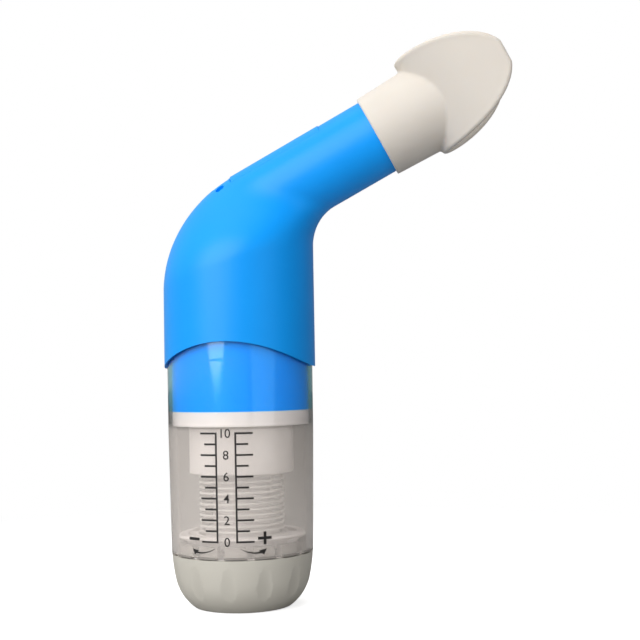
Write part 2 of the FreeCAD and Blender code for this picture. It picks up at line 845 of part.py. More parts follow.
def bend_section(name, angle, share, inset):
    """One oval section that spans the back and the front line of the bend."""
    back_x = -cover_radius + bend_back_radius * (1 - cosine(angle))
    back_z = bend_back_level + bend_back_radius * sine(angle)
    front_x = cover_radius + bend_front_radius * (1 - cosine(angle))
    front_z = bend_front_level + bend_front_radius * sine(angle)
    run = math.hypot(front_x.value - back_x.value, front_z.value - back_z.value)
    across = front_x - back_x
    rise = front_z - back_z
    length = Dim(run, f"sqrt({across.text}^2 + {rise.text}^2)")
    blend = (1 - cosine(as_dim(180) * share)) / 2
    half_width = cover_radius + (tube_radius - cover_radius) * blend
    section = doc.addObject("Part::Ellipse", name)
    bind(section, MajorRadius=length / 2 - inset, MinorRadius=half_width - inset)
    tilt = math.degrees(math.atan2(rise.value, across.value))
    section.Placement = Placement(Vector(0, 0, 0), Rotation(Vector(0, -1, 0), tilt))
    place(section, (back_x + front_x) / 2, 0, (back_z + front_z) / 2)
    section.setExpression("Placement.Rotation.Angle", f"atan2({rise.text}; {across.text})")
    return section


def bent_pipe(name, inset):
    """Chamber sleeve, lofted bend and mouth tube of one skin."""
    sections = []
    count = 7
    for index in range(count):
        share = index / (count - 1)
        sections.append(bend_section(f"{name}_section_{index}", bend_angle * share, share, inset))
    bend = doc.addObject("Part::Loft", name + "_bend")
    bend.Sections = sections
    bend.Solid = True
    bend.Ruled = False
    doc.recompute()
    lower = doc.addObject("Part::Extrusion", name + "_lower")
    lower.Base = sections[0]
    lower.Dir = Vector(0, 0, -1)
    lower.DirMode = "Custom"
    lower.Solid = True
    lower.setExpression("LengthFwd", (bend_back_level - arch_peak_level + arch_radius).text)
    tube = doc.addObject("Part::Extrusion", name + "_tube")
    tube.Base = sections[-1]
    tube.DirMode = "Custom"
    tube.Dir = Vector(bend_sin.value, 0, bend_cos.value)
    tube.setExpression("Dir.x", bend_sin.text)
    tube.setExpression("Dir.z", bend_cos.text)
    tube.Solid = True
    tube.setExpression("LengthFwd", (tube_end + cover_radius).text)
    return fuse(name, [lower, bend, tube])


def tube_box(name, start, stop, half_width, low, high):
    """Box in the mouth tube's frame."""
    box = block(name, stop - start, 2 * half_width, high - low)
    shift_in_tube(box, start, -as_dim(half_width), low)
    return box


def shift_in_tube(item, x, y, z):
    """Place an item at a point given in the mouth tube's frame."""
    item.Placement = Placement(Vector(0, 0, 0), Rotation(Vector(0, -1, 0), tube_rise.value))
    item.setExpression("Placement.Rotation.Angle", tube_rise.text)
    along = as_dim(x)
    over = as_dim(z)
    place(item, along * bend_sin - over * bend_cos, y,
          tube_cross_level + along * bend_cos + over * bend_sin)


def turn_in_tube(item, angle):
    """Turn a whole piece about the mouth tube's axis."""
    level = tube_cross_level
    fall = 1 - cosine(angle)
    item.Placement = Placement(Vector(0, 0, 0), Rotation(
        Vector(bend_sin.value, 0, bend_cos.value), angle.value))
    item.setExpression("Placement.Rotation.Angle", angle.text)
    place(item, -bend_sin * bend_cos * level * fall, bend_sin * level * sine(angle),
          level * bend_sin * bend_sin * fall)


def tube_rod(name, radius, start, stop, lift=0):
    """Round bar along the mouth tube's axis, or lifted off it."""
    bar = rod(name, radius, stop - start)
    bar.Placement = Placement(Vector(0, 0, 0), Rotation(Vector(0, 1, 0), bend_angle.value))
    bar.setExpression("Placement.Rotation.Angle", bend_angle.text)
    start = as_dim(start)
    lift = as_dim(lift)
    place(bar, start * bend_sin - lift * bend_cos, 0,
          tube_cross_level + start * bend_cos + lift * bend_sin)
    return bar


def tube_sector(name, inner, outer, half_angle, start, stop):
    """Part of a ring over the top of the mouth tube."""
    outer_bar = tube_rod(name + "_outer", outer, start, stop)
    inner_bar = tube_rod(name + "_inner", inner, start - 1, stop + 1)
    ring = cut(name + "_ring", outer_bar, inner_bar)
    wide = tube_radius * 2
    wedge = doc.addObject("Part::Wedge", name + "_wedge")
    reach = wide * sine(half_angle) / cosine(half_angle)
    bind(wedge, Xmin=start - 2, Xmax=stop + 2, X2min=start - 2, X2max=stop + 2,
         Ymin=0, Ymax=wide, Zmin=-0.01, Zmax=0.01, Z2min=-reach, Z2max=reach)
    turn = Rotation(Vector(1, 0, 0), 90)
    tilt = Rotation(Vector(0, -1, 0), tube_rise.value)
    wedge.Placement = Placement(Vector(0, 0, 0), tilt.multiply(turn))
    place(wedge, 0, 0, tube_cross_level)
    return common(name, [ring, wedge])


def make_cover():
    """Outer moulding with its arched lower edge and the exhale valve's recess."""
    outer = bent_pipe("cover_skin", 0)
    bore = bent_pipe("cover_bore", cover_wall)
    scoop_bed = tube_box("cover_scoop_bed", plate_start - scoop_offset * 2,
                         plate_start - soft_gap, tray_width / 2,
                         scoop_level - scoop_floor, tube_radius + cover_wall)
    hollow = cut("cover_hollow", bore, scoop_bed)
    step_bore = rod("cover_step_bore", chamber_top_radius + running_fit, cover_step)
    arch = rod("cover_arch", arch_radius, cover_radius * 4)
    arch.Placement = Placement(Vector(0, 0, 0), Rotation(Vector(1, 0, 0), 90))
    place(arch, 0, cover_radius * 2, arch_peak_level - arch_radius)
    tube_stop = tube_box("cover_tube_stop", tube_end, tube_end * 2, cover_radius * 2,
                         -cover_radius * 2, cover_radius * 2)
    window = tube_box("cover_window", plate_start - soft_gap, plate_start + tray_length,
                      tray_width / 2 + seating_gap, tray_level - seating_gap * 2,
                      tube_radius * 2)
    recess = tube_sector("cover_recess", tube_radius + plate_rise - plate_thickness - seating_gap,
                         tube_radius * 2, plate_half_angle + plate_slack,
                         plate_start - seating_gap, plate_start + plate_length + seating_gap)
    scoop = rod("cover_scoop", scoop_radius, scoop_width)
    turn = Rotation(Vector(0, -1, 0), tube_rise.value)
    scoop.Placement = Placement(Vector(0, 0, 0), turn.multiply(Rotation(Vector(1, 0, 0), 90)))
    along = plate_start - scoop_offset
    over = scoop_level + scoop_radius
    place(scoop, along * bend_sin - over * bend_cos, scoop_width / 2,
          tube_cross_level + along * bend_cos + over * bend_sin)
    dimples = []
    for side in (-1, 1):
        dimple = rod(f"cover_dimple_{side + 2}", dimple_radius, scoop_radius)
        lean = dimple_angle * -side
        dimple.Placement = Placement(Vector(0, 0, 0), turn.multiply(
            Rotation(Vector(1, 0, 0), lean.value)))
        high = dimple_floor * cosine(dimple_angle)
        place(dimple, along * bend_sin - high * bend_cos, dimple_floor * sine(dimple_angle) * side,
              tube_cross_level + along * bend_cos + high * bend_sin)
        dimples.append(dimple)
    tools = fuse("cover_cutters",
                 [hollow, step_bore, arch, tube_stop, window, recess, scoop] + dimples)
    cover = cut("cover_cut", outer, tools)
    return finish(cover, "handle_cover")


def make_valve_tray():
    """Tray under the plate: a floor with ports and a low rear wall."""
    start = plate_start - seating_gap * 2
    stop = plate_start + tray_length - seating_gap
    half = tray_width / 2
    slab = tube_box("tray_block", start, stop, half, tray_level, tube_radius * 2)
    limit = tube_rod("tray_limit", tube_radius + plate_rise - plate_thickness - seating_gap,
                     start - tray_wall, stop + tray_wall)
    outer = common("tray_outer", [slab, limit])
    hollow = tube_box("tray_hollow", start + tray_wall, stop - tray_wall, half - tray_wall,
                      tray_level + tray_floor, tube_radius * 2)
    mouth = tube_box("tray_mouth", start - tray_wall, start + tray_wall * 2, half - tray_wall,
                     scoop_level, tube_radius * 2)
    cutters = [hollow, mouth]
    count = int(round(port_count.value))
    spacing = (flap_width - 1.6) / port_count
    middle = (port_count - 1) / 2
    port_start = start + tray_wall + port_margin
    for index in range(count):
        port = block(f"tray_port_{index}", port_length, port_width, tray_floor + 2)
        offset = (index - middle) * spacing
        shift_in_tube(port, port_start, offset - port_width / 2, tray_level - 1)
        cutters.append(port)
    tray = cut("tray_cut", outer, fuse("tray_cutters", cutters))
    return finish(tray, "exhale_valve_seat")


def flap_stop():
    return plate_start + tray_length - seating_gap - tray_wall - soft_gap


def make_flap():
    """Soft flap that lies on the ports and bends up at its clamped end."""
    stop = flap_stop()
    low = tray_level + tray_floor + flap_gap
    flap = tube_box("flap_sheet", stop - flap_length, stop, flap_width / 2,
                    low, low + flap_thickness)
    return finish(flap, "exhale_flap")


def make_clamp():
    """Bar that holds the flap's clamped end down."""
    stop = plate_start + tray_length - seating_gap - tray_wall
    low = tray_level + tray_floor + flap_gap + flap_thickness + flap_gap
    bar = tube_box("clamp_bar", stop - clamp_width, stop, flap_width / 2, low, low + clamp_height)
    return finish(bar, "flap_clamp_bar")


def make_plate():
    """Crowned plate that covers the exhale valve, flush at its sides."""
    inner = tube_radius + plate_rise - plate_thickness
    sector = tube_sector("plate_sector", inner, tube_radius + plate_rise, plate_half_angle,
                         plate_start, plate_start + plate_length)
    crown = tube_rod("plate_crown_bar", tube_radius + plate_rise - plate_crown,
                     plate_start - 1, plate_start + plate_length + 1, plate_crown)
    plate = common("plate_crowned", [sector, crown])
    return finish(plate, "exhale_valve_cover")


# The mouthpiece

def lip_bar(name, depth, half_width, height):
    """Oval bar, standing across the mouth tube, that shapes the lip shield."""
    oval = doc.addObject("Part::Ellipse", name + "_oval")
    wide = max(depth.value, half_width.value) == depth.value
    if wide:
        bind(oval, MajorRadius=depth, MinorRadius=half_width)
    else:
        bind(oval, MajorRadius=half_width, MinorRadius=depth)
    centre = collar_start + collar_length + lip_wall + lip_depth
    tilt = Rotation(Vector(0, -1, 0), tube_rise.value)
    oval.Placement = Placement(Vector(0, 0, 0), tilt)
    over = -height
    place(oval, centre * bend_sin - over * bend_cos, 0,
          tube_cross_level + centre * bend_cos + over * bend_sin)
    bar = doc.addObject("Part::Extrusion", name)
    bar.Base = oval
    bar.DirMode = "Custom"
    bar.Dir = Vector(-bend_cos.value, 0, bend_sin.value)
    bar.setExpression("Dir.x", (-bend_cos).text)
    bar.setExpression("Dir.z", bend_sin.text)
    bar.Solid = True
    bar.setExpression("LengthFwd", (height * 2).text)
    return bar


def side_oval(name):
    """Outline of the lip shield as seen from the side."""
    reach = lip_reach - lip_base_shift
    oval = doc.addObject("Part::Ellipse", name + "_oval")
    bind(oval, MajorRadius=reach, MinorRadius=lip_half_height)
    centre = collar_start + collar_length + lip_base_shift
    turn = Rotation(Vector(0, -1, 0), tube_rise.value).multiply(Rotation(Vector(1, 0, 0), 90))
    oval.Placement = Placement(Vector(0, 0, 0), turn)
    wide = lip_half_width + lip_wall * 2
    place(oval, centre * bend_sin - lip_lift * bend_cos, wide,
          tube_cross_level + centre * bend_cos + lip_lift * bend_sin)
    bar = doc.addObject("Part::Extrusion", name)
    bar.Base = oval
    bar.DirMode = "Custom"
    bar.Dir = Vector(0, -1, 0)
    bar.Solid = True
    bar.setExpression("LengthFwd", (wide * 2).text)
    return bar


def make_mouthpiece():
    """Collar, swept lip shield and two bite tabs in one soft moulding."""
    stop = collar_start + collar_length
    half_wide = lip_half_width
    outer_bar = lip_bar("shield_outer", lip_depth + lip_wall, half_wide + lip_wall,
                        lip_half_height + lip_wall)
    inner_bar = lip_bar("shield_inner", lip_depth, half_wide, lip_half_height + lip_wall * 2)
    arch = cut("shield_arch", outer_bar, inner_bar)
    front = tube_box("shield_front", stop - lip_wall * 2, stop + lip_reach,
                     half_wide + lip_wall * 2, -lip_half_height * 2, lip_half_height * 2)
    shield = common("shield_wall", [arch, side_oval("shield_side"), front])
    collar = doc.addObject("Part::Cone", "collar_cone")
    bind(collar, Radius1=collar_radius, Radius2=collar_radius + collar_flare,
         Height=collar_length + collar_reach)
    collar.Placement = Placement(Vector(0, 0, 0), Rotation(Vector(0, 1, 0), bend_angle.value))
    collar.setExpression("Placement.Rotation.Angle", bend_angle.text)
    place(collar, collar_start * bend_sin, 0, tube_cross_level + collar_start * bend_cos)
    root = cut("collar_root", collar, lip_bar("root_trim", lip_depth, half_wide,
                                              lip_half_height + lip_wall * 2))
    tabs = []
    for side in (-1, 1):
        tab = block(f"bite_tab_{side + 2}", tab_length, tab_thickness, tab_height)
        offset = tab_spacing / 2 * side - tab_thickness / 2
        shift_in_tube(tab, stop + tab_start, offset, -tab_height / 2)
        tabs.append(tab)
    body = fuse("mouthpiece_body", [shield, root] + tabs)
    bore = tube_rod("collar_bore", tube_radius + seating_gap, collar_start - 1,
                    tube_end + soft_gap)
    oval = doc.addObject("Part::Ellipse", "airway_oval")
    bind(oval, MajorRadius=airway_width / 2, MinorRadius=airway_height / 2)
    turn = Rotation(Vector(0, 1, 0), bend_angle.value).multiply(Rotation(Vector(0, 0, 1), 90))
    oval.Placement = Placement(Vector(0, 0, 0), turn)
    airway_start = tube_end - 1
    place(oval, airway_start * bend_sin, 0, tube_cross_level + airway_start * bend_cos)
    airway = doc.addObject("Part::Extrusion", "airway_bar")
    airway.Base = oval
    airway.DirMode = "Custom"
    airway.Dir = Vector(bend_sin.value, 0, bend_cos.value)
    airway.setExpression("Dir.x", bend_sin.text)
    airway.setExpression("Dir.z", bend_cos.text)
    airway.Solid = True
    airway.setExpression("LengthFwd", (collar_length * 2).text)
    mouthpiece = cut("mouthpiece_cut", body, fuse("mouthpiece_bores", [bore, airway]))
    turn_in_tube(mouthpiece, mouthpiece_turn)
    return finish(mouthpiece, "mouthpiece")


def check_and_write():
    """Refuse a broken object, then write each piece to its own file."""
    doc.recompute()
    for item in doc.Objects:
        if "Invalid" in item.State or "Error" in item.State:
            raise ValueError(f"{item.Name}: {item.State}")
    os.makedirs("parts", exist_ok=True)
    for piece in parts_made:
        shape = piece.Shape
        if shape.isNull() or not shape.isValid() or shape.Volume <= 0:
            raise ValueError(f"{piece.Label}: shape is null or not valid")
    for piece in parts_made:
        shape = piece.Shape
        shape.exportStep(os.path.join("parts", piece.Label + ".step"))
        print(f"{piece.Label:24s} solids {len(shape.Solids)} volume {shape.Volume:9.1f}")


make_knob()
make_drive_shaft()
make_base_ring()
make_clip()
make_friction_washer()
make_chamber()
make_guide()
make_guide_bush()
make_inner_body()
make_seal_ring()
make_stem()
make_poppet()
make_poppet_seal()
make_cap_nut()
make_carriage()
make_spring()
make_spring_washer()
make_cover()
make_valve_tray()
make_flap()
make_clamp()
make_plate()
make_mouthpiece()
check_and_write()
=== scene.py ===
"""Look of the hand-held breathing trainer: clear spring chamber, blue grip, soft mouthpiece.

Lengths are in millimetres and are turned to metres where a mesh is made. The origin is the
centre of the knob's base, Z runs up the chamber and X points to the mouthpiece.
"""
from __future__ import annotations

import logging
import math
from dataclasses import dataclass
from enum import Enum
from typing import Sequence

import bpy
from mathutils import Matrix, Vector


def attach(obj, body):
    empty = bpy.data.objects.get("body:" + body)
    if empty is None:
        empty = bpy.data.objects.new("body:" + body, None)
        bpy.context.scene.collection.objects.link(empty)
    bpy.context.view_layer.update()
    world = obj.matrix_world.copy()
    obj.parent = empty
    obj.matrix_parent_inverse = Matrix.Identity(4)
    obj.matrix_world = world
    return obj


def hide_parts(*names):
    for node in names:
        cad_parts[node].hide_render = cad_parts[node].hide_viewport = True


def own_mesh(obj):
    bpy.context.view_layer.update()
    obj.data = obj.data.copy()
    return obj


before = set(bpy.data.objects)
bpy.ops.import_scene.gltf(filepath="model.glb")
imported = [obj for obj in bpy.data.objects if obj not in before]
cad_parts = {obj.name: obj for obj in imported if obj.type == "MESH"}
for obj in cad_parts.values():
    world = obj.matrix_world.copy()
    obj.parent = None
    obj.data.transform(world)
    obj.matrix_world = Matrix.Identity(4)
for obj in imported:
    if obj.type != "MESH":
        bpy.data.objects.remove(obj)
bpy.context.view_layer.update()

LOG = logging.getLogger("breathing_trainer")
MM = 0.001
MERGE_MM = 0.002
UPRIGHT = (math.radians(90.0), 0.0, 0.0)

TUBE_RISE = math.radians(28.0)
TUBE_CROSS_LEVEL = 133.597
ALONG = Vector((math.cos(TUBE_RISE), 0.0, math.sin(TUBE_RISE)))
OVER = Vector((-math.sin(TUBE_RISE), 0.0, math.cos(TUBE_RISE)))
ACROSS = Vector((0.0, 1.0, 0.0))

Colour = tuple[float, float, float, float]


class Surface(Enum):
    """Roughness left by the way a surface was made."""

    SATIN_TOOL = 0.40
    ETCHED_TOOL = 0.48
    SOFT_TOOL = 0.58


class Body(Enum):
    """The rigid groups that pieces ride on."""

    HOUSING = "housing"
    KNOB = "knob"
    VALVE = "valve"
    STEM = "stem"
    CARRIAGE = "carriage"
    FLAP = "flap"


def linear(code: str) -> Colour:
    """Turn an sRGB hex code into a linear colour.

    Args:
        code: Six hex digits after a hash sign.

    Returns:
        Red, green, blue and an alpha of one.
    """
    parts = [int(code[start:start + 2], 16) / 255 for start in (1, 3, 5)]
    red, green, blue = (
        part / 12.92 if part <= 0.04045 else ((part + 0.055) / 1.055) ** 2.4 for part in parts
    )
    return (red, green, blue, 1.0)


def grey(share: float) -> Colour:
    """Return a neutral colour that reflects this share of the light."""
    return (share, share, share, 1.0)


WHITE = linear("#FFFFFF")


def add_node(
    tree: bpy.types.NodeTree,
    kind: str,
    settings: dict[str, object] | None = None,
    links: dict[str, bpy.types.NodeSocket] | None = None,
) -> bpy.types.Node:
    """Add one node with its settings and links.

    Args:
        tree: The tree to add to.
        kind: The node's type name.
        settings: Properties or input values by name.
        links: Output sockets to join to inputs by name.

    Returns:
        The new node.
    """
    node = tree.nodes.new(kind)
    for name, value in (settings or {}).items():
        if hasattr(node, name) and name not in node.inputs:
            setattr(node, name, value)
        else:
            node.inputs[name].default_value = value
    for name, source in (links or {}).items():
        tree.links.new(source, node.inputs[name])
    return node


def object_place(tree: bpy.types.NodeTree) -> bpy.types.NodeSocket:
    """Return the place on the piece, in its own coordinates."""
    return add_node(tree, "ShaderNodeTexCoord").outputs["Object"]


def noise(tree: bpy.types.NodeTree, place: bpy.types.NodeSocket, scale: float,
          detail: float) -> bpy.types.NodeSocket:
    """Add soft random variation over a surface.

    Args:
        tree: The tree to add to.
        place: The coordinates that it varies over.
        scale: Patches per metre.
        detail: How many finer layers are added.

    Returns:
        A value from zero to one.
    """
    cloud = add_node(tree, "ShaderNodeTexNoise", {"Scale": scale, "Detail": detail},
                     {"Vector": place})
    return cloud.outputs["Fac"]


def remap(tree: bpy.types.NodeTree, source: bpy.types.NodeSocket, low: float, high: float,
          start: float = 0.0, stop: float = 1.0) -> bpy.types.NodeSocket:
    """Map a value from one range to another.

    Args:
        tree: The tree to add to.
        source: The value.
        low: The result at start.
        high: The result at stop.
        start: Where the value's range starts.
        stop: Where it stops.

    Returns:
        The mapped value.
    """
    node = add_node(tree, "ShaderNodeMapRange",
                    {"From Min": start, "From Max": stop, "To Min": low, "To Max": high},
                    {"Value": source})
    return node.outputs["Result"]


def relief(tree: bpy.types.NodeTree, height: bpy.types.NodeSocket, strength: float,
           depth_mm: float, under: bpy.types.NodeSocket | None = None) -> bpy.types.NodeSocket:
    """Add a fine relief to a surface.

    Args:
        tree: The tree to add to.
        height: The relief's height, from zero to one.
        strength: How much of it shows.
        depth_mm: Its full depth in millimetres.
        under: The normal of a coarser relief below it.

    Returns:
        The surface's normal.
    """
    links = {"Height": height}
    if under is not None:
        links["Normal"] = under
    node = add_node(tree, "ShaderNodeBump", {"Strength": strength, "Distance": depth_mm * MM},
                    links)
    return node.outputs["Normal"]


def mix_colours(tree: bpy.types.NodeTree, share: bpy.types.NodeSocket, first: str,
                second: str) -> bpy.types.NodeSocket:
    """Mix two colours.

    Args:
        tree: The tree to add to.
        share: Zero for the first colour, one for the second.
        first: The first colour's hex code.
        second: The second colour's hex code.

    Returns:
        The mixed colour.
    """
    factor_input, first_input, second_input, colour_output = 0, 6, 7, 2
    node = add_node(tree, "ShaderNodeMix", {"data_type": "RGBA"})
    node.inputs[first_input].default_value = linear(first)
    node.inputs[second_input].default_value = linear(second)
    tree.links.new(share, node.inputs[factor_input])
    return node.outputs[colour_output]


def mix_shaders(tree: bpy.types.NodeTree, share: bpy.types.NodeSocket,
                first: bpy.types.NodeSocket,
                second: bpy.types.NodeSocket) -> bpy.types.NodeSocket:
    """Mix two shaders.

    Args:
        tree: The tree to add to.
        share: Zero for the first shader, one for the second.
        first: The first shader.
        second: The second shader.

    Returns:
        The mixed shader.
    """
    first_input, second_input = 1, 2
    node = add_node(tree, "ShaderNodeMixShader", None, {"Fac": share})
    tree.links.new(first, node.inputs[first_input])
    tree.links.new(second, node.inputs[second_input])
    return node.outputs["Shader"]


def new_material(name: str) -> tuple[bpy.types.Material, bpy.types.NodeTree, bpy.types.Node]:
    """Make an empty node material with its output.

    Args:
        name: The finish's plain name.

    Returns:
        The material, its tree and its output node.
    """
    material = bpy.data.materials.new(name)
    material.use_nodes = True
    tree = material.node_tree
    tree.nodes.clear()
    output = add_node(tree, "ShaderNodeOutputMaterial")
    return material, tree, output


@dataclass(frozen=True)
class MouldedPlastic:
    """Injection-moulded plastic: an even colour, slight sink ripple and a fine tool grain."""

    name: str
    colour: str
    tint: str
    surface: Surface
    ripple_mm: float = 14.0
    ripple_height_mm: float = 0.05
    ripple_strength: float = 0.4
    grain_mm: float = 0.35
    grain_height_mm: float = 0.006
    grain_strength: float = 0.35
    uneven: float = 0.05
    ior: float = 1.53
    shine: float = 0.5
    sheen_through: float = 0.0
    glow_depth_mm: float = 1.2
    glow_radii: tuple[float, float, float] = (1.0, 0.9, 0.75)

    def build(self) -> bpy.types.Material:
        """Return the node material of this plastic."""
        material, tree, output = new_material(self.name)
        place = object_place(tree)
        ripple = noise(tree, place, 1.0 / MM / self.ripple_mm, 2.0)
        grain = noise(tree, place, 1.0 / MM / self.grain_mm, 3.0)
        colour = mix_colours(tree, ripple, self.colour, self.tint)
        rough = remap(tree, grain, self.surface.value - self.uneven,
                      self.surface.value + self.uneven)
        wave = relief(tree, ripple, self.ripple_strength, self.ripple_height_mm)
        pores = relief(tree, grain, self.grain_strength, self.grain_height_mm, wave)
        shader = add_node(
            tree, "ShaderNodeBsdfPrincipled",
            {"IOR": self.ior, "Specular IOR Level": self.shine,
             "Subsurface Weight": self.sheen_through,
             "Subsurface Scale": self.glow_depth_mm * MM, "Subsurface Radius": self.glow_radii},
            {"Base Color": colour, "Roughness": rough, "Normal": pores})
        tree.links.new(shader.outputs["BSDF"], output.inputs["Surface"])
        return material


@dataclass(frozen=True)
class ClearPlastic:
    """Clear moulding: lightly frosted behind the scale, with a blue tint painted where the sleeve
    lies behind it, a painted reflection of the blue sleeve.
    """

    name: str
    colour: str
    haze_colour: str
    haze: float = 0.012
    shine: float = 0.08
    # Blue tint of the wall above this level, with this fade: a painted reflection of the blue
    # sleeve behind the wall.
    lap_colour: str = "#8EEDFC"
    lap_level_mm: float = 66.7
    lap_fade_mm: float = 0.3
    frost: float = 0.27
    frost_level_mm: float = 61.5
    frost_fade_mm: float = 1.0
    patchy: float = 0.06
    smear_scale: float = 140.0
    flow_scale: float = 60.0
    flow_height_mm: float = 0.03
    flow_strength: float = 0.1
    roughness: float = 0.08
    ior: float = 1.49

    def build(self) -> bpy.types.Material:
        """Return the node material of this clear wall."""
        material, tree, output = new_material(self.name)
        place = object_place(tree)
        wave = relief(tree, noise(tree, place, self.flow_scale, 1.0), self.flow_strength,
                      self.flow_height_mm)
        smear = noise(tree, place, self.smear_scale, 4.0)
        level = add_node(tree, "ShaderNodeSeparateXYZ", None, {"Vector": place}).outputs["Z"]
        frost = remap(tree, level, self.frost, self.haze,
                      (self.frost_level_mm - self.frost_fade_mm) * MM,
                      (self.frost_level_mm + self.frost_fade_mm) * MM)
        patch = remap(tree, smear, 1.0 - self.patchy, 1.0 + self.patchy)
        veil = add_node(tree, "ShaderNodeMath", {"operation": "MULTIPLY"})
        tree.links.new(frost, veil.inputs[0])
        tree.links.new(patch, veil.inputs[1])
        # Painted reflection of the blue sleeve: the clear wall's colour turns blue above the
        # sleeve's lower edge.
        painted_sleeve_reflection = remap(tree, level, 0.0, 1.0,
                    (self.lap_level_mm - self.lap_fade_mm) * MM,
                    (self.lap_level_mm + self.lap_fade_mm) * MM)
        glass = add_node(
            tree, "ShaderNodeBsdfPrincipled",
            {"Roughness": self.roughness, "IOR": self.ior, "Specular IOR Level": self.shine,
             "Transmission Weight": 1.0},
            {"Base Color": mix_colours(tree, painted_sleeve_reflection, self.colour, self.lap_colour),
             "Normal": wave})
        milk = add_node(tree, "ShaderNodeBsdfDiffuse", {"Color": linear(self.haze_colour)})
        seen = mix_shaders(tree, veil.outputs["Value"], glass.outputs["BSDF"],
                           milk.outputs["BSDF"])
        clear = add_node(tree, "ShaderNodeBsdfTransparent", {"Color": WHITE})
        path = add_node(tree, "ShaderNodeLightPath")
        shown = mix_shaders(tree, path.outputs["Is Shadow Ray"], seen, clear.outputs["BSDF"])
        tree.links.new(shown, output.inputs["Surface"])
        return material


@dataclass(frozen=True)
class SiliconeRubber:
    """Soft moulded silicone: dull, lets a little light in, with a dry fine skin."""

    name: str
    colour: str
    tint: str
    surface: Surface = Surface.SOFT_TOOL
    uneven: float = 0.06
    cloud_scale: float = 70.0
    grain_mm: float = 0.5
    grain_height_mm: float = 0.01
    grain_strength: float = 0.3
    ior: float = 1.41
    glow: float = 0.25
    glow_depth_mm: float = 1.5
    glow_radii: tuple[float, float, float] = (1.0, 0.8, 0.6)
    dry_sheen: float = 0.1
    dry_sheen_roughness: float = 0.4

    def build(self) -> bpy.types.Material:
        """Return the node material of this silicone."""
        material, tree, output = new_material(self.name)
        place = object_place(tree)
        cloud = noise(tree, place, self.cloud_scale, 2.0)
        grain = noise(tree, place, 1.0 / MM / self.grain_mm, 3.0)
        shader = add_node(
            tree, "ShaderNodeBsdfPrincipled",
            {"IOR": self.ior, "Subsurface Weight": self.glow,
             "Subsurface Scale": self.glow_depth_mm * MM, "Subsurface Radius": self.glow_radii,
             "Sheen Weight": self.dry_sheen, "Sheen Roughness": self.dry_sheen_roughness},
            {"Base Color": mix_colours(tree, cloud, self.colour, self.tint),
             "Roughness": remap(tree, grain, self.surface.value - self.uneven,
                                self.surface.value + self.uneven),
             "Normal": relief(tree, grain, self.grain_strength, self.grain_height_mm)})
        tree.links.new(shader.outputs["BSDF"], output.inputs["Surface"])
        return material


@dataclass(frozen=True)
class DrawnSteel:
    """Bright spring steel, drawn through a die, so fine lines run in it."""

    name: str
    colour: str
    roughness: float = 0.28
    smoother: float = 0.06
    rougher: float = 0.08
    metal: float = 1.0
    line_mm: float = 0.2
    line_depth_mm: float = 0.004
    line_strength: float = 0.2

    def build(self) -> bpy.types.Material:
        """Return the node material of this steel."""
        material, tree, output = new_material(self.name)
        lines = noise(tree, object_place(tree), 1.0 / MM / self.line_mm, 2.0)
        shader = add_node(
            tree, "ShaderNodeBsdfPrincipled",
            {"Base Color": linear(self.colour), "Metallic": self.metal},
            {"Roughness": remap(tree, lines, self.roughness - self.smoother,
                                self.roughness + self.rougher),
             "Normal": relief(tree, lines, self.line_strength, self.line_depth_mm)})
        tree.links.new(shader.outputs["BSDF"], output.inputs["Surface"])
        return material


@dataclass(frozen=True)
class PadPrintInk:
    """Matt pad-printing ink, a little thin where the pad lifts off."""

    name: str
    colour: str
    thin_colour: str
    speck_scale: float = 1600.0
    roughness: float = 0.6
    ior: float = 1.5

    def build(self) -> bpy.types.Material:
        """Return the node material of this ink."""
        material, tree, output = new_material(self.name)
        speck = noise(tree, object_place(tree), self.speck_scale, 2.0)
        shader = add_node(
            tree, "ShaderNodeBsdfPrincipled", {"Roughness": self.roughness, "IOR": self.ior},
            {"Base Color": mix_colours(tree, speck, self.colour, self.thin_colour)})
        tree.links.new(shader.outputs["BSDF"], output.inputs["Surface"])
        return material


BLUE_ABS = MouldedPlastic("blue_satin_abs", "#00A0FF", "#009BFA", Surface.SATIN_TOOL,
                          shine=0.3)
WHITE_ACETAL = MouldedPlastic("white_acetal", "#E0DAD8", "#DAD3D1", Surface.ETCHED_TOOL,
                              sheen_through=0.1)
WARM_WHITE_ABS = MouldedPlastic("warm_white_abs", "#CFCBC1", "#C9C5BA", Surface.ETCHED_TOOL,
                                grain_mm=0.6, grain_height_mm=0.012)
GREY_NYLON = MouldedPlastic("grey_nylon", "#9A948E", "#928C86", Surface.ETCHED_TOOL)
CLEAR_WALL = ClearPlastic("clear_polycarbonate", "#FBFAF8", "#E0D9D3")
CREAM_SILICONE = SiliconeRubber("cream_silicone", "#DFD8CF", "#D9D2C8")
SEAL_SILICONE = SiliconeRubber("grey_seal_silicone", "#B9BBBC", "#AFB1B3")
BRIGHT_STEEL = DrawnSteel("bright_drawn_steel", "#D6D2D0")
COATED_WIRE = DrawnSteel("zinc_coated_wire", "#E6E2DE", roughness=0.5, metal=0.3)
BLACK_INK = PadPrintInk("black_pad_ink", "#141212", "#232020")


def deselect() -> None:
    """Leave object mode clean, with nothing selected."""
    if bpy.context.object and bpy.context.object.mode != "OBJECT":
        bpy.ops.object.mode_set(mode="OBJECT")
    bpy.ops.object.select_all(action="DESELECT")


def make_active(piece: bpy.types.Object) -> None:
    """Select one piece alone and make it active."""
    deselect()
    piece.select_set(True)
    bpy.context.view_layer.objects.active = piece


def new_piece(name: str, data: bpy.types.ID) -> bpy.types.Object:
    """Put new data into the scene as a piece.

    Args:
        name: The piece's name.
        data: Its mesh, curve, lamp or camera.

    Returns:
        The piece.
    """
    piece = bpy.data.objects.new(name, data)
    bpy.context.scene.collection.objects.link(piece)
    return piece


def named(name: str) -> bpy.types.Object:
    """Name the form that was made last and return it."""
    piece = bpy.context.object
    piece.name = name
    return piece


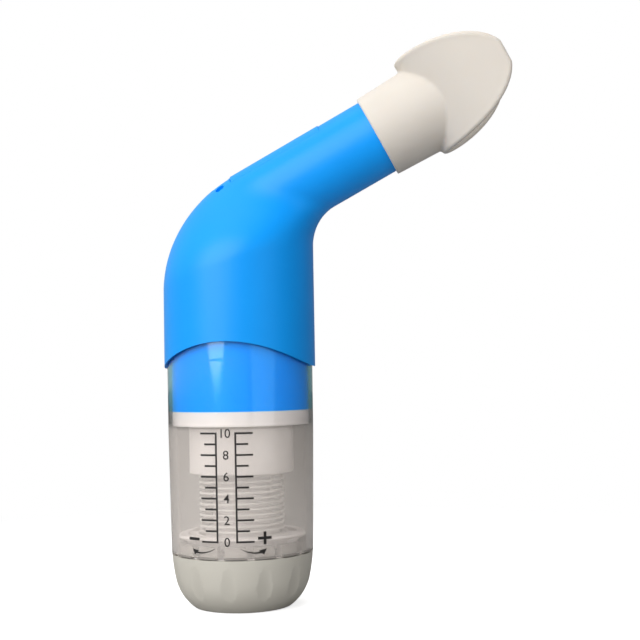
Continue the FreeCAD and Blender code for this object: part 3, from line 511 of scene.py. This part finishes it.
def dress(piece: bpy.types.Object, material: bpy.types.Material) -> None:
    """Give a piece one material in place of any other."""
    piece.data.materials.clear()
    piece.data.materials.append(material)


def settle(piece: bpy.types.Object) -> None:
    """Put the object's place into its mesh."""
    make_active(piece)
    bpy.ops.object.transform_apply(location=True, rotation=True, scale=True)


def apply_modifiers(piece: bpy.types.Object) -> None:
    """Apply every modifier of a piece in order."""
    make_active(piece)
    for modifier in list(piece.modifiers):
        bpy.ops.object.modifier_apply(modifier=modifier.name)


def thicken(piece: bpy.types.Object, thickness: float, offset: float) -> None:
    """Give an open skin a wall.

    Args:
        piece: The skin.
        thickness: The wall in millimetres.
        offset: One to grow outward, minus one inward, zero both ways.
    """
    wall = piece.modifiers.new("wall", "SOLIDIFY")
    wall.thickness = thickness * MM
    wall.offset = offset
    apply_modifiers(piece)


def face_outward(piece: bpy.types.Object) -> None:
    """Turn every face of a closed piece outward."""
    make_active(piece)
    bpy.ops.object.mode_set(mode="EDIT")
    bpy.ops.mesh.select_all(action="SELECT")
    bpy.ops.mesh.normals_make_consistent(inside=False)
    bpy.ops.object.mode_set(mode="OBJECT")


def join(pieces: Sequence[bpy.types.Object], name: str) -> bpy.types.Object:
    """Join several pieces into one.

    Args:
        pieces: The pieces; the first takes the others in.
        name: The name of the whole.

    Returns:
        The whole.
    """
    deselect()
    for piece in pieces:
        piece.select_set(True)
    bpy.context.view_layer.objects.active = pieces[0]
    bpy.ops.object.join()
    return named(name)


def subtract(piece: bpy.types.Object, cutter: bpy.types.Object) -> None:
    """Cut one closed form out of a piece and remove the cutter.

    Args:
        piece: The piece that is cut.
        cutter: The form that is taken away.
    """
    hole = piece.modifiers.new("hole", "BOOLEAN")
    hole.operation = "DIFFERENCE"
    hole.solver = "EXACT"
    hole.object = cutter
    apply_modifiers(piece)
    bpy.data.objects.remove(cutter)


def tube_matrix(along: float, over: float = 0.0, across: float = 0.0) -> Matrix:
    """Frame whose Z runs along the mouth tube, at a point given in millimetres.

    Args:
        along: Distance along the tube's axis from where it crosses the chamber's axis.
        over: Distance above the tube's axis.
        across: Distance to the far side.

    Returns:
        A matrix with X across, Y over and Z along the tube.
    """
    point = Vector((0.0, 0.0, TUBE_CROSS_LEVEL)) + ALONG * along + OVER * over + ACROSS * across
    turn = Matrix((-ACROSS, OVER, ALONG)).transposed()
    return Matrix.Translation(point * MM) @ turn.to_4x4()


def smooth_copy(node_name: str, body: Body, material: bpy.types.Material,
                angle: float = 32.0) -> bpy.types.Object:
    """Stand a merged, smooth-shaded copy in place of a faceted CAD node.

    Args:
        node_name: The CAD node to stand for.
        body: The group it rides on.
        material: Its finish.
        angle: Edges sharper than this many degrees stay crisp.

    Returns:
        The new piece.
    """
    piece = new_piece(f"{node_name}_skin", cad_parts[node_name].data.copy())
    make_active(piece)
    bpy.ops.object.mode_set(mode="EDIT")
    bpy.ops.mesh.select_all(action="SELECT")
    bpy.ops.mesh.customdata_custom_splitnormals_clear()
    bpy.ops.mesh.remove_doubles(threshold=MERGE_MM * MM)
    bpy.ops.object.mode_set(mode="OBJECT")
    bpy.ops.object.shade_smooth_by_angle(angle=math.radians(angle))
    dress(piece, material)
    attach(piece, body.value)
    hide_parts(node_name)
    LOG.info("%s stands for %s", piece.name, node_name)
    return piece


@dataclass(frozen=True)
class Softbox:
    """One soft round lamp, with its power in watts; smooth surfaces mirror it if it glints."""

    name: str
    place: tuple[float, float, float]
    width: float
    power: float
    glint: bool = False

    def hang(self, target: Sequence[float]) -> None:
        """Hang the lamp so that it faces a point, given in millimetres."""
        data = bpy.data.lights.new(self.name, "AREA")
        data.shape = "DISK"
        data.size = self.width * MM
        data.energy = self.power
        lamp = new_piece(self.name, data)
        start = Vector(self.place) * MM
        aim = Vector(target) * MM - start
        lamp.location = start
        lamp.rotation_euler = aim.to_track_quat("-Z", "Y").to_euler()
        lamp.visible_glossy = self.glint


@dataclass
class Studio:
    """Camera, lamps, white surroundings and the pale floor."""

    camera_place: tuple[float, float, float] = (86.58, -409.48, 79.14)
    camera_right: tuple[float, float, float] = (0.9898, 0.1416, -0.0178)
    camera_up: tuple[float, float, float] = (0.0238, -0.0407, 0.9989)
    camera_near: float = 10.0
    lens: float = 67.5
    sensor: float = 36.0
    room_tint: Colour = (1.0, 0.985, 0.96, 1.0)
    bright_side: float = 0.56
    dim_side: float = 0.14
    bright_end: float = -0.8
    dim_end: float = 0.7
    floor_size: float = 8000.0
    floor_drop: float = 0.2
    floor_fade: tuple[float, float] = (0.05, 0.3)
    floor_paper: float = 0.8
    floor_glow: float = 0.72
    floor_bounce: float = 0.31
    centre: tuple[float, float, float] = (20.0, 0.0, 110.0)
    lamps: tuple[Softbox, ...] = (
        Softbox("key_softbox", (-320.0, -670.0, 470.0), 900.0, 6.8, glint=True),
        Softbox("fill_softbox", (600.0, -520.0, 200.0), 620.0, 1.5),
        Softbox("top_softbox", (-60.0, 200.0, 760.0), 700.0, 2.1),
    )

    def set_camera(self) -> None:
        """Put the camera where the photograph was taken from."""
        data = bpy.data.cameras.new("photo_camera")
        data.lens = self.lens
        data.sensor_width = self.sensor
        data.clip_start = self.camera_near * MM
        camera = new_piece("photo_camera", data)
        right = Vector(self.camera_right).normalized()
        back = right.cross(Vector(self.camera_up)).normalized()
        up = back.cross(right)
        turn = Matrix((right, up, back)).transposed().to_4x4()
        camera.matrix_world = Matrix.Translation(Vector(self.camera_place) * MM) @ turn
        bpy.context.scene.camera = camera

    def set_world(self) -> None:
        """White to the eye; light from the left and a dim right side in every reflection."""
        world = bpy.data.worlds.new("white_room")
        bpy.context.scene.world = world
        world.use_nodes = True
        tree = world.node_tree
        tree.nodes.clear()
        way = add_node(tree, "ShaderNodeTexCoord").outputs["Generated"]
        side = add_node(tree, "ShaderNodeSeparateXYZ", None, {"Vector": way}).outputs["X"]
        room = add_node(tree, "ShaderNodeBackground", {"Color": self.room_tint},
                        {"Strength": remap(tree, side, self.bright_side, self.dim_side,
                                           self.bright_end, self.dim_end)})
        paper = add_node(tree, "ShaderNodeBackground", {"Color": WHITE})
        path = add_node(tree, "ShaderNodeLightPath")
        shown = mix_shaders(tree, path.outputs["Is Camera Ray"], room.outputs["Background"],
                            paper.outputs["Background"])
        add_node(tree, "ShaderNodeOutputWorld", None, {"Surface": shown})

    def add_floor(self) -> None:
        """Pale floor with a soft shadow, which runs out into plain white."""
        deselect()
        bpy.ops.mesh.primitive_plane_add(size=self.floor_size * MM,
                                         location=(0.0, 0.0, -self.floor_drop * MM))
        floor = named("studio_floor")
        material, tree, output = new_material("pale_floor")
        reach = add_node(tree, "ShaderNodeVectorMath", {"operation": "LENGTH"})
        tree.links.new(object_place(tree), reach.inputs[0])
        near_edge, far_edge = self.floor_fade
        far = add_node(tree, "ShaderNodeMapRange",
                       {"interpolation_type": "SMOOTHSTEP", "From Min": near_edge,
                        "From Max": far_edge}, {"Value": reach.outputs["Value"]})
        paper = add_node(tree, "ShaderNodeBsdfDiffuse", {"Color": grey(self.floor_paper)})
        glow = add_node(tree, "ShaderNodeEmission",
                        {"Color": WHITE, "Strength": self.floor_glow})
        near = add_node(tree, "ShaderNodeAddShader")
        tree.links.new(paper.outputs["BSDF"], near.inputs[0])
        tree.links.new(glow.outputs["Emission"], near.inputs[1])
        white = add_node(tree, "ShaderNodeEmission", {"Color": WHITE, "Strength": 1.0})
        seen = mix_shaders(tree, far.outputs["Result"], near.outputs["Shader"],
                           white.outputs["Emission"])
        felt = add_node(tree, "ShaderNodeBsdfDiffuse", {"Color": grey(self.floor_bounce)})
        path = add_node(tree, "ShaderNodeLightPath")
        shown = mix_shaders(tree, path.outputs["Is Camera Ray"], felt.outputs["BSDF"], seen)
        tree.links.new(shown, output.inputs["Surface"])
        dress(floor, material)

    def build(self) -> None:
        """Set up the whole studio."""
        self.set_camera()
        self.set_world()
        self.add_floor()
        for lamp in self.lamps:
            lamp.hang(self.centre)
        bpy.context.scene.view_settings.view_transform = "Standard"


@dataclass(frozen=True)
class TurnArrow:
    """Curved arrow that shows which way to turn the knob, as its right-hand drawing."""

    start: float = 4.3
    stop: float = 11.3
    lowest: float = 9.45
    level: float = 20.73
    curl: float = 0.0553
    thin: float = 0.09
    swell: float = 0.21
    steps: int = 14
    head_corners: tuple[tuple[float, float], ...] = ((12.0, 20.05), (13.0, 22.0), (10.3, 21.5))

    def stroke(self, label: str, side: int) -> bpy.types.Object:
        """Model the swelling stroke on one side."""
        deselect()
        bpy.ops.mesh.primitive_grid_add(x_subdivisions=self.steps, y_subdivisions=1, size=1.0,
                                        rotation=UPRIGHT)
        stroke = named(f"turn_arrow_{label}_stroke")
        settle(stroke)
        for vertex in stroke.data.vertices:
            share = vertex.co.x + 0.5
            run = self.start + (self.stop - self.start) * share
            half = self.thin + self.swell * share
            level = self.level + self.curl * (run - self.lowest) ** 2
            level += half if vertex.co.z > 0 else -half
            vertex.co = Vector((side * run, 0.0, level)) * MM
        return stroke

    def head(self, label: str, side: int) -> bpy.types.Object:
        """Model the three-cornered head on one side."""
        deselect()
        bpy.ops.mesh.primitive_circle_add(vertices=len(self.head_corners), fill_type="NGON")
        head = named(f"turn_arrow_{label}_head")
        for vertex, (run, level) in zip(head.data.vertices, self.head_corners):
            vertex.co = Vector((side * run, 0.0, level)) * MM
        return head

    def draw(self, label: str, side: int) -> list[bpy.types.Object]:
        """Model the arrow.

        Args:
            label: Which side it is on, for its name.
            side: One for the right-hand arrow, minus one for the left.

        Returns:
            Its stroke and its head, flat, before they are wrapped.
        """
        return [self.stroke(label, side), self.head(label, side)]


@dataclass
class PrintedScale:
    """Numbers, ticks, signs and arrows printed on the clear wall."""

    foot_level: float = 19.1
    foot_radius: float = 24.3
    shoulder_level: float = 59.2
    shoulder_radius: float = 25.0
    top_level: float = 81.2
    top_radius: float = 25.1
    lift: float = 0.03
    ink: float = 0.02
    zero_level: float = 24.4
    division: float = 3.54
    divisions: int = 10
    bar_reach: float = 3.26
    bar_width: float = 0.62
    major: float = 5.7
    minor: float = 4.2
    tick_height: float = 0.62
    number_height: float = 3.0
    digit_share: float = 0.72
    stroke_spread: float = 0.02
    facet_across: float = 0.5
    facet_up: float = 2.0
    arrow: TurnArrow = TurnArrow()
    signs: tuple[tuple[str, float, float, float, float], ...] = (
        ("less_sign", -12.2, 25.2, 4.5, 0.9),
        ("more_sign_bar", 12.45, 25.5, 4.7, 0.95),
        ("more_sign_post", 12.45, 25.5, 0.95, 4.2),
    )

    def wall_radius(self, level: float) -> float:
        """Return the wall's outer radius at a level, in millimetres."""
        if level <= self.shoulder_level:
            share = (level - self.foot_level) / (self.shoulder_level - self.foot_level)
            return self.foot_radius + (self.shoulder_radius - self.foot_radius) * share
        share = (level - self.shoulder_level) / (self.top_level - self.shoulder_level)
        return self.shoulder_radius + (self.top_radius - self.shoulder_radius) * min(share, 1.0)

    def wrap(self, piece: bpy.types.Object) -> None:
        """Lay a flat piece, drawn in X across and Z up, round the wall."""
        for vertex in piece.data.vertices:
            across, out, level = (value / MM for value in vertex.co)
            radius = self.wall_radius(level)
            angle = across / radius
            reach = radius + self.lift + out
            vertex.co = Vector((reach * math.sin(angle), -reach * math.cos(angle), level)) * MM

    def strip(self, name: str, across: float, level: float, width: float,
              height: float) -> bpy.types.Object:
        """Model one printed bar.

        Args:
            name: The bar's name.
            across: Its centre across the wall.
            level: Its centre's height.
            width: Its size across.
            height: Its size up.

        Returns:
            The bar, flat, before it is wrapped.
        """
        deselect()
        bpy.ops.mesh.primitive_grid_add(
            x_subdivisions=max(2, int(width / self.facet_across)),
            y_subdivisions=max(2, int(height / self.facet_up)),
            size=1.0, location=(across * MM, 0.0, level * MM), rotation=UPRIGHT)
        bar = named(name)
        bar.scale = (width * MM, height * MM, 1.0)
        settle(bar)
        return bar

    def glyph(self, name: str, text: str, across: float, level: float,
              height: float) -> bpy.types.Object:
        """Model one printed number from flat type.

        Args:
            name: The number's name.
            text: Its digits.
            across: Its centre across the wall.
            level: Its centre's height.
            height: Its height.

        Returns:
            The number, flat, before it is wrapped.
        """
        deselect()
        bpy.ops.object.text_add(location=(0.0, 0.0, 0.0))
        label = bpy.context.object
        label.data.body = text
        label.data.align_x = "CENTER"
        label.data.align_y = "CENTER"
        label.data.size = height / self.digit_share * MM
        label.data.offset = self.stroke_spread * MM
        bpy.ops.object.convert(target="MESH")
        label = named(name)
        label.rotation_euler = UPRIGHT
        label.location = (across * MM, 0.0, level * MM)
        settle(label)
        runs = [vertex.co.x for vertex in label.data.vertices]
        levels = [vertex.co.z for vertex in label.data.vertices]
        shift = Vector((across * MM - (min(runs) + max(runs)) / 2, 0.0,
                        level * MM - (min(levels) + max(levels)) / 2))
        label.data.transform(Matrix.Translation(shift))
        return label

    def draw(self) -> list[bpy.types.Object]:
        """Model every mark flat, in X across and Z up."""
        flat: list[bpy.types.Object] = []
        height = self.divisions * self.division
        for label, side in (("left", -1), ("right", 1)):
            flat.append(self.strip(f"scale_bar_{label}", side * self.bar_reach,
                                   self.zero_level + height / 2, self.bar_width,
                                   height + self.tick_height))
            for step in range(self.divisions + 1):
                length = self.major if step % 2 == 0 else self.minor
                flat.append(self.strip(f"scale_tick_{label}_{step}",
                                       side * (self.bar_reach + length / 2),
                                       self.zero_level + step * self.division, length,
                                       self.tick_height))
            flat.extend(self.arrow.draw(label, side))
        for step in range(0, self.divisions + 1, 2):
            flat.append(self.glyph(f"scale_number_{step}", str(step), 0.0,
                                   self.zero_level + step * self.division,
                                   self.number_height))
        flat.extend(self.strip(*sign) for sign in self.signs)
        return flat

    def build(self, ink: bpy.types.Material) -> bpy.types.Object:
        """Print the whole scale.

        Args:
            ink: The ink's material.

        Returns:
            The scale.
        """
        flat = self.draw()
        for piece in flat:
            self.wrap(piece)
            thicken(piece, self.ink, 1.0)
        count = len(flat)
        scale = join(flat, "printed_scale")
        face_outward(scale)
        dress(scale, ink)
        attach(scale, Body.HOUSING.value)
        LOG.info("printed scale with %d marks", count)
        return scale


@dataclass
class LoadSpring:
    """Fine compression coil between the carriage and the ceiling."""

    low: float = 20.7
    high: float = 84.7
    mean_radius: float = 14.3
    wire: float = 0.8
    wire_facets: int = 10
    turns: int = 34
    turn_steps: int = 26
    travel: float = 35.0
    merge: float = 0.001

    def build(self, steel: bpy.types.Material) -> bpy.types.Object:
        """Wind the coil by screwing a round section.

        Args:
            steel: The wire's material.

        Returns:
            The coil.
        """
        deselect()
        radius = self.wire / 2
        bpy.ops.mesh.primitive_circle_add(
            vertices=self.wire_facets, radius=radius * MM, fill_type="NOTHING",
            location=(self.mean_radius * MM, 0.0, (self.low + radius) * MM), rotation=UPRIGHT)
        coil = named("spring_coil")
        settle(coil)
        screw = coil.modifiers.new("winding", "SCREW")
        screw.angle = 2 * math.pi * self.turns
        screw.screw_offset = (self.high - self.low - self.wire) * MM
        screw.steps = self.turn_steps * self.turns
        screw.render_steps = self.turn_steps * self.turns
        screw.use_merge_vertices = False
        apply_modifiers(coil)
        bpy.ops.object.mode_set(mode="EDIT")
        bpy.ops.mesh.select_all(action="SELECT")
        bpy.ops.mesh.remove_doubles(threshold=self.merge * MM)
        bpy.ops.mesh.select_all(action="DESELECT")
        bpy.ops.mesh.select_non_manifold()
        bpy.ops.mesh.fill_holes(sides=0)
        bpy.ops.object.mode_set(mode="OBJECT")
        face_outward(coil)
        bpy.ops.object.shade_smooth()
        dress(coil, steel)
        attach(coil, Body.HOUSING.value)
        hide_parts("load_spring")
        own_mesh(coil)
        LOG.info("spring of %d turns", self.turns)
        return coil


@dataclass
class Mouthpiece:
    """Soft collar, swept lip shield with a beaded rim and two bite tabs."""

    collar_start: float = 55.9
    collar_end: float = 72.9
    collar_radius: float = 14.6
    collar_flare: float = 0.8
    collar_reach: float = 8.5
    tube_end: float = 68.4
    tube_end_gap: float = 0.3
    bore_radius: float = 13.45
    bore_lead: float = 3.0
    depth: float = 32.0
    half_width: float = 21.7
    wall: float = 2.0
    half_height: float = 17.9
    lift: float = 1.0
    reach: float = 33.2
    fullness: float = 2.0
    bead: float = 1.2
    skin_grid: tuple[int, int] = (60, 30)
    skin_span: float = 0.995
    rim_span: float = 0.985
    rim_steps: int = 128
    rim_facets: int = 3
    airway_width: float = 20.0
    airway_height: float = 12.0
    airway_lead: float = 1.0
    airway_reach: float = 12.0
    bar_facets: int = 96
    trim_facets: int = 128
    trim_length: float = 60.0
    tab_start: float = 7.2
    tab_size: tuple[float, float, float] = (3.0, 8.0, 12.0)
    tab_offset: float = 12.5
    tab_edge: float = 1.1
    tab_edge_facets: int = 3
    voxel: float = 0.42
    soften: float = 0.6
    soften_rounds: int = 9
    crisp_angle: float = 40.0
    turn: float = 6.5

    def side_height(self, along: float) -> float:
        """Half height of the shield at a distance past the collar."""
        share = min(1.0, max(0.0, along) / (self.reach - self.bead))
        return (self.half_height - self.bead) * (1.0 - share ** self.fullness) ** (
            1.0 / self.fullness)

    def on_shield(self, sweep: float, rise: float) -> Vector:
        """Return a point of the shield's middle skin, in metres.

        Args:
            sweep: From minus one at the near tip to one at the far tip.
            rise: From minus one at the lower edge to one at the upper edge.

        Returns:
            The point.
        """
        depth = self.depth + self.wall / 2
        width = self.half_width + self.wall / 2
        angle = sweep * math.acos(1.0 - (self.reach - self.bead - self.wall / 2) / depth)
        along = self.wall / 2 + depth * (1.0 - math.cos(angle))
        over = self.lift + self.side_height(along) * rise
        return tube_matrix(self.collar_end + along, over, width * math.sin(angle)).translation

    def shield(self) -> bpy.types.Object:
        """Model the swept wall of the shield from a bent grid."""
        deselect()
        columns, rows = self.skin_grid
        bpy.ops.mesh.primitive_grid_add(x_subdivisions=columns, y_subdivisions=rows, size=2.0)
        skin = named("lip_shield")
        for vertex in skin.data.vertices:
            vertex.co = self.on_shield(vertex.co.x * self.skin_span, vertex.co.y)
        thicken(skin, self.wall, 0.0)
        return skin

    def rim(self) -> bpy.types.Object:
        """Model the bead that runs round the shield's edge."""
        curve = bpy.data.curves.new("shield_rim", "CURVE")
        curve.dimensions = "3D"
        curve.bevel_depth = self.bead * MM
        curve.bevel_resolution = self.rim_facets
        line = curve.splines.new("POLY")
        line.points.add(self.rim_steps - 1)
        for index, knot in enumerate(line.points):
            turn = 2 * math.pi * index / self.rim_steps
            edge = 1.0 if math.sin(turn) >= 0 else -1.0
            knot.co = (*self.on_shield(math.cos(turn) * self.rim_span, edge), 1.0)
        line.use_cyclic_u = True
        make_active(new_piece("shield_rim", curve))
        bpy.ops.object.convert(target="MESH")
        return bpy.context.object

    def bar(self, name: str, radius: float, start: float, stop: float,
            squeeze: tuple[float, float] = (1.0, 1.0), flare: float = 0.0) -> bpy.types.Object:
        """Model a round or oval bar along the mouth tube.

        Args:
            name: The bar's name.
            radius: Its radius before it is squeezed.
            start: Where it starts along the tube.
            stop: Where it stops.
            squeeze: Factors across and over the tube.
            flare: Extra radius at its end.

        Returns:
            The bar.
        """
        deselect()
        bpy.ops.mesh.primitive_cone_add(
            vertices=self.bar_facets, radius1=radius * MM, radius2=(radius + flare) * MM,
            depth=(stop - start) * MM)
        shape = named(name)
        shape.data.transform(Matrix.Diagonal((*squeeze, 1.0, 1.0)))
        shape.data.transform(tube_matrix((start + stop) / 2))
        return shape

    def collar(self) -> bpy.types.Object:
        """Model the collar up to the shield's concave side."""
        sleeve = self.bar("collar", self.collar_radius, self.collar_start,
                          self.collar_end + self.collar_reach, flare=self.collar_flare)
        deselect()
        bpy.ops.mesh.primitive_cylinder_add(vertices=self.trim_facets, radius=1.0,
                                            depth=self.trim_length * MM)
        trim = named("mouth_side")
        trim.data.transform(Matrix.Diagonal(
            (self.half_width * MM, self.depth * MM, 1.0, 1.0)))
        stand = Matrix((-ACROSS, ALONG, OVER)).transposed().to_4x4()
        centre = tube_matrix(self.collar_end + self.wall + self.depth).translation
        trim.data.transform(Matrix.Translation(centre) @ stand)
        subtract(sleeve, trim)
        return sleeve

    def tab(self, side: int) -> bpy.types.Object:
        """Model one bite tab on the shield's concave side."""
        deselect()
        wide, high, long = self.tab_size
        bpy.ops.mesh.primitive_cube_add(size=1.0)
        shape = named(f"bite_tab_{'near' if side < 0 else 'far'}")
        shape.data.transform(Matrix.Diagonal((wide * MM, high * MM, long * MM, 1.0)))
        shape.data.transform(tube_matrix(
            self.collar_end + self.tab_start + long / 2, 0.0, side * self.tab_offset))
        edge = shape.modifiers.new("soft_edges", "BEVEL")
        edge.width = self.tab_edge * MM
        edge.segments = self.tab_edge_facets
        apply_modifiers(shape)
        return shape

    def build(self, silicone: bpy.types.Material) -> bpy.types.Object:
        """Join the forms into one skin and open the airway.

        Args:
            silicone: The moulding's material.

        Returns:
            The mouthpiece.
        """
        skin = join([self.shield(), self.rim(), self.collar(), self.tab(-1), self.tab(1)],
                    "mouthpiece_skin")
        fuse = skin.modifiers.new("one_moulding", "REMESH")
        fuse.mode = "VOXEL"
        fuse.voxel_size = self.voxel * MM
        even = skin.modifiers.new("soft_corners", "SMOOTH")
        even.factor = self.soften
        even.iterations = self.soften_rounds
        apply_modifiers(skin)
        subtract(skin, self.bar("collar_bore", self.bore_radius,
                                self.collar_start - self.bore_lead,
                                self.tube_end + self.tube_end_gap))
        subtract(skin, self.bar("airway_bore", 1.0, self.tube_end - self.airway_lead,
                                self.collar_end + self.airway_reach,
                                (self.airway_width / 2, self.airway_height / 2)))
        centre = Vector((0.0, 0.0, TUBE_CROSS_LEVEL)) * MM
        skin.data.transform(Matrix.Translation(centre)
                            @ Matrix.Rotation(math.radians(self.turn), 4, ALONG)
                            @ Matrix.Translation(-centre))
        make_active(skin)
        bpy.ops.object.shade_smooth_by_angle(angle=math.radians(self.crisp_angle))
        dress(skin, silicone)
        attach(skin, Body.HOUSING.value)
        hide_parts("mouthpiece")
        LOG.info("mouthpiece of %d faces", len(skin.data.polygons))
        return skin


@dataclass
class StemThread:
    """Four-start left-hand thread on the load stem."""

    low: float = 14.8
    high: float = 61.6
    crest: float = 10.0
    depth: float = 0.75
    inner: float = 9.0
    lead: float = 7.0
    starts: int = 4
    turn_steps: int = 72
    flank_low: float = 0.3
    crest_low: float = 0.5
    crest_high: float = 0.8
    core_gap: float = 0.05
    crisp_angle: float = 25.0

    def profile(self) -> list[tuple[float, float]]:
        """Return radius and level of the thread's half section over one lead."""
        pitch = self.lead / self.starts
        root = self.crest - self.depth
        corners: list[tuple[float, float]] = []
        for start in range(self.starts):
            base = start * pitch
            corners += [(root, base), (root, base + pitch * self.flank_low),
                        (self.crest, base + pitch * self.crest_low),
                        (self.crest, base + pitch * self.crest_high)]
        corners.append((root, self.lead))
        return corners

    def thin_core(self) -> None:
        """Draw the smooth stem's skin in, so that it stays under the thread's root."""
        limit = (self.crest - self.depth - self.core_gap) * MM
        for vertex in bpy.data.objects["threaded_stem_skin"].data.vertices:
            flat = Vector((vertex.co.x, vertex.co.y))
            if flat.length > limit:
                flat *= limit / flat.length
                vertex.co.x, vertex.co.y = flat

    def build(self, plastic: bpy.types.Material) -> bpy.types.Object:
        """Wind the thread and thin the smooth stem under it.

        Args:
            plastic: The stem's material.

        Returns:
            The threaded sleeve.
        """
        corners = self.profile()
        mesh = bpy.data.meshes.new("stem_thread")
        mesh.from_pydata(
            [(radius * MM, 0.0, (self.low - self.lead + level) * MM) for radius, level in corners],
            [(index, index + 1) for index in range(len(corners) - 1)], [])
        thread = new_piece("stem_thread", mesh)
        screw = thread.modifiers.new("winding", "SCREW")
        screw.angle = -2 * math.pi
        screw.screw_offset = self.lead * MM
        screw.steps = self.turn_steps
        screw.render_steps = self.turn_steps
        screw.iterations = math.ceil((self.high - self.low) / self.lead) + 1
        screw.use_merge_vertices = True
        screw.merge_threshold = MERGE_MM * MM
        apply_modifiers(thread)
        bpy.ops.object.mode_set(mode="EDIT")
        for level, outer in ((self.low, False), (self.high, True)):
            bpy.ops.mesh.select_all(action="SELECT")
            bpy.ops.mesh.bisect(plane_co=(0.0, 0.0, level * MM), plane_no=(0.0, 0.0, 1.0),
                                clear_inner=not outer, clear_outer=outer)
        bpy.ops.object.mode_set(mode="OBJECT")
        face_outward(thread)
        thicken(thread, self.crest - self.depth - self.inner, -1.0)
        bpy.ops.object.shade_smooth_by_angle(angle=math.radians(self.crisp_angle))
        dress(thread, plastic)
        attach(thread, Body.STEM.value)
        self.thin_core()
        LOG.info("stem thread of %d faces", len(thread.data.polygons))
        return thread


@dataclass
class SmoothMouldings:
    """The rigid CAD pieces, merged and shaded smooth, each with its finish."""

    plan: tuple[tuple[Body, tuple[tuple[str, str], ...]], ...] = (
        (Body.HOUSING, (
            ("handle_cover", "blue_cover"),
            ("exhale_valve_cover", "blue_cover"),
            ("inner_body", "blue_cover"),
            ("chamber_tube", "clear_wall"),
            ("chamber_base_ring", "grey_plastic"),
            ("knob_retaining_ring", "steel"),
            ("knob_friction_washer", "white_plastic"),
            ("spring_guide", "white_plastic"),
            ("stem_guide_bush", "grey_plastic"),
            ("chamber_seal_ring", "soft_seal"),
            ("spring_top_washer", "steel"),
            ("exhale_valve_seat", "white_plastic"),
            ("flap_clamp_bar", "white_plastic"),
        )),
        (Body.FLAP, (("exhale_flap", "soft_seal"),)),
        (Body.KNOB, (("adjuster_knob", "knob_plastic"), ("knob_drive_shaft", "steel"))),
        (Body.VALVE, (("poppet_disc", "white_plastic"), ("poppet_seal", "soft_seal"))),
        (Body.STEM, (("threaded_stem", "white_plastic"), ("poppet_cap_nut", "steel"))),
        (Body.CARRIAGE, (("spring_carriage", "white_plastic"),)),
    )

    def build(self, finishes: dict[str, bpy.types.Material]) -> None:
        """Dress every rigid piece.

        Args:
            finishes: The materials by the record's slots.
        """
        for body, members in self.plan:
            for node_name, slot in members:
                smooth_copy(node_name, body, finishes[slot])


def main() -> None:
    """Build the studio and every sub-assembly in order."""
    logging.basicConfig(level=logging.INFO, format="%(name)s: %(message)s")
    Studio().build()
    finishes = {
        "blue_cover": BLUE_ABS.build(),
        "white_plastic": WHITE_ACETAL.build(),
        "knob_plastic": WARM_WHITE_ABS.build(),
        "grey_plastic": GREY_NYLON.build(),
        "clear_wall": CLEAR_WALL.build(),
        "soft_cream": CREAM_SILICONE.build(),
        "soft_seal": SEAL_SILICONE.build(),
        "steel": BRIGHT_STEEL.build(),
    }
    SmoothMouldings().build(finishes)
    LoadSpring().build(COATED_WIRE.build())
    StemThread().build(finishes["white_plastic"])
    Mouthpiece().build(finishes["soft_cream"])
    PrintedScale().build(BLACK_INK.build())


if __name__ == "__main__":
    main()
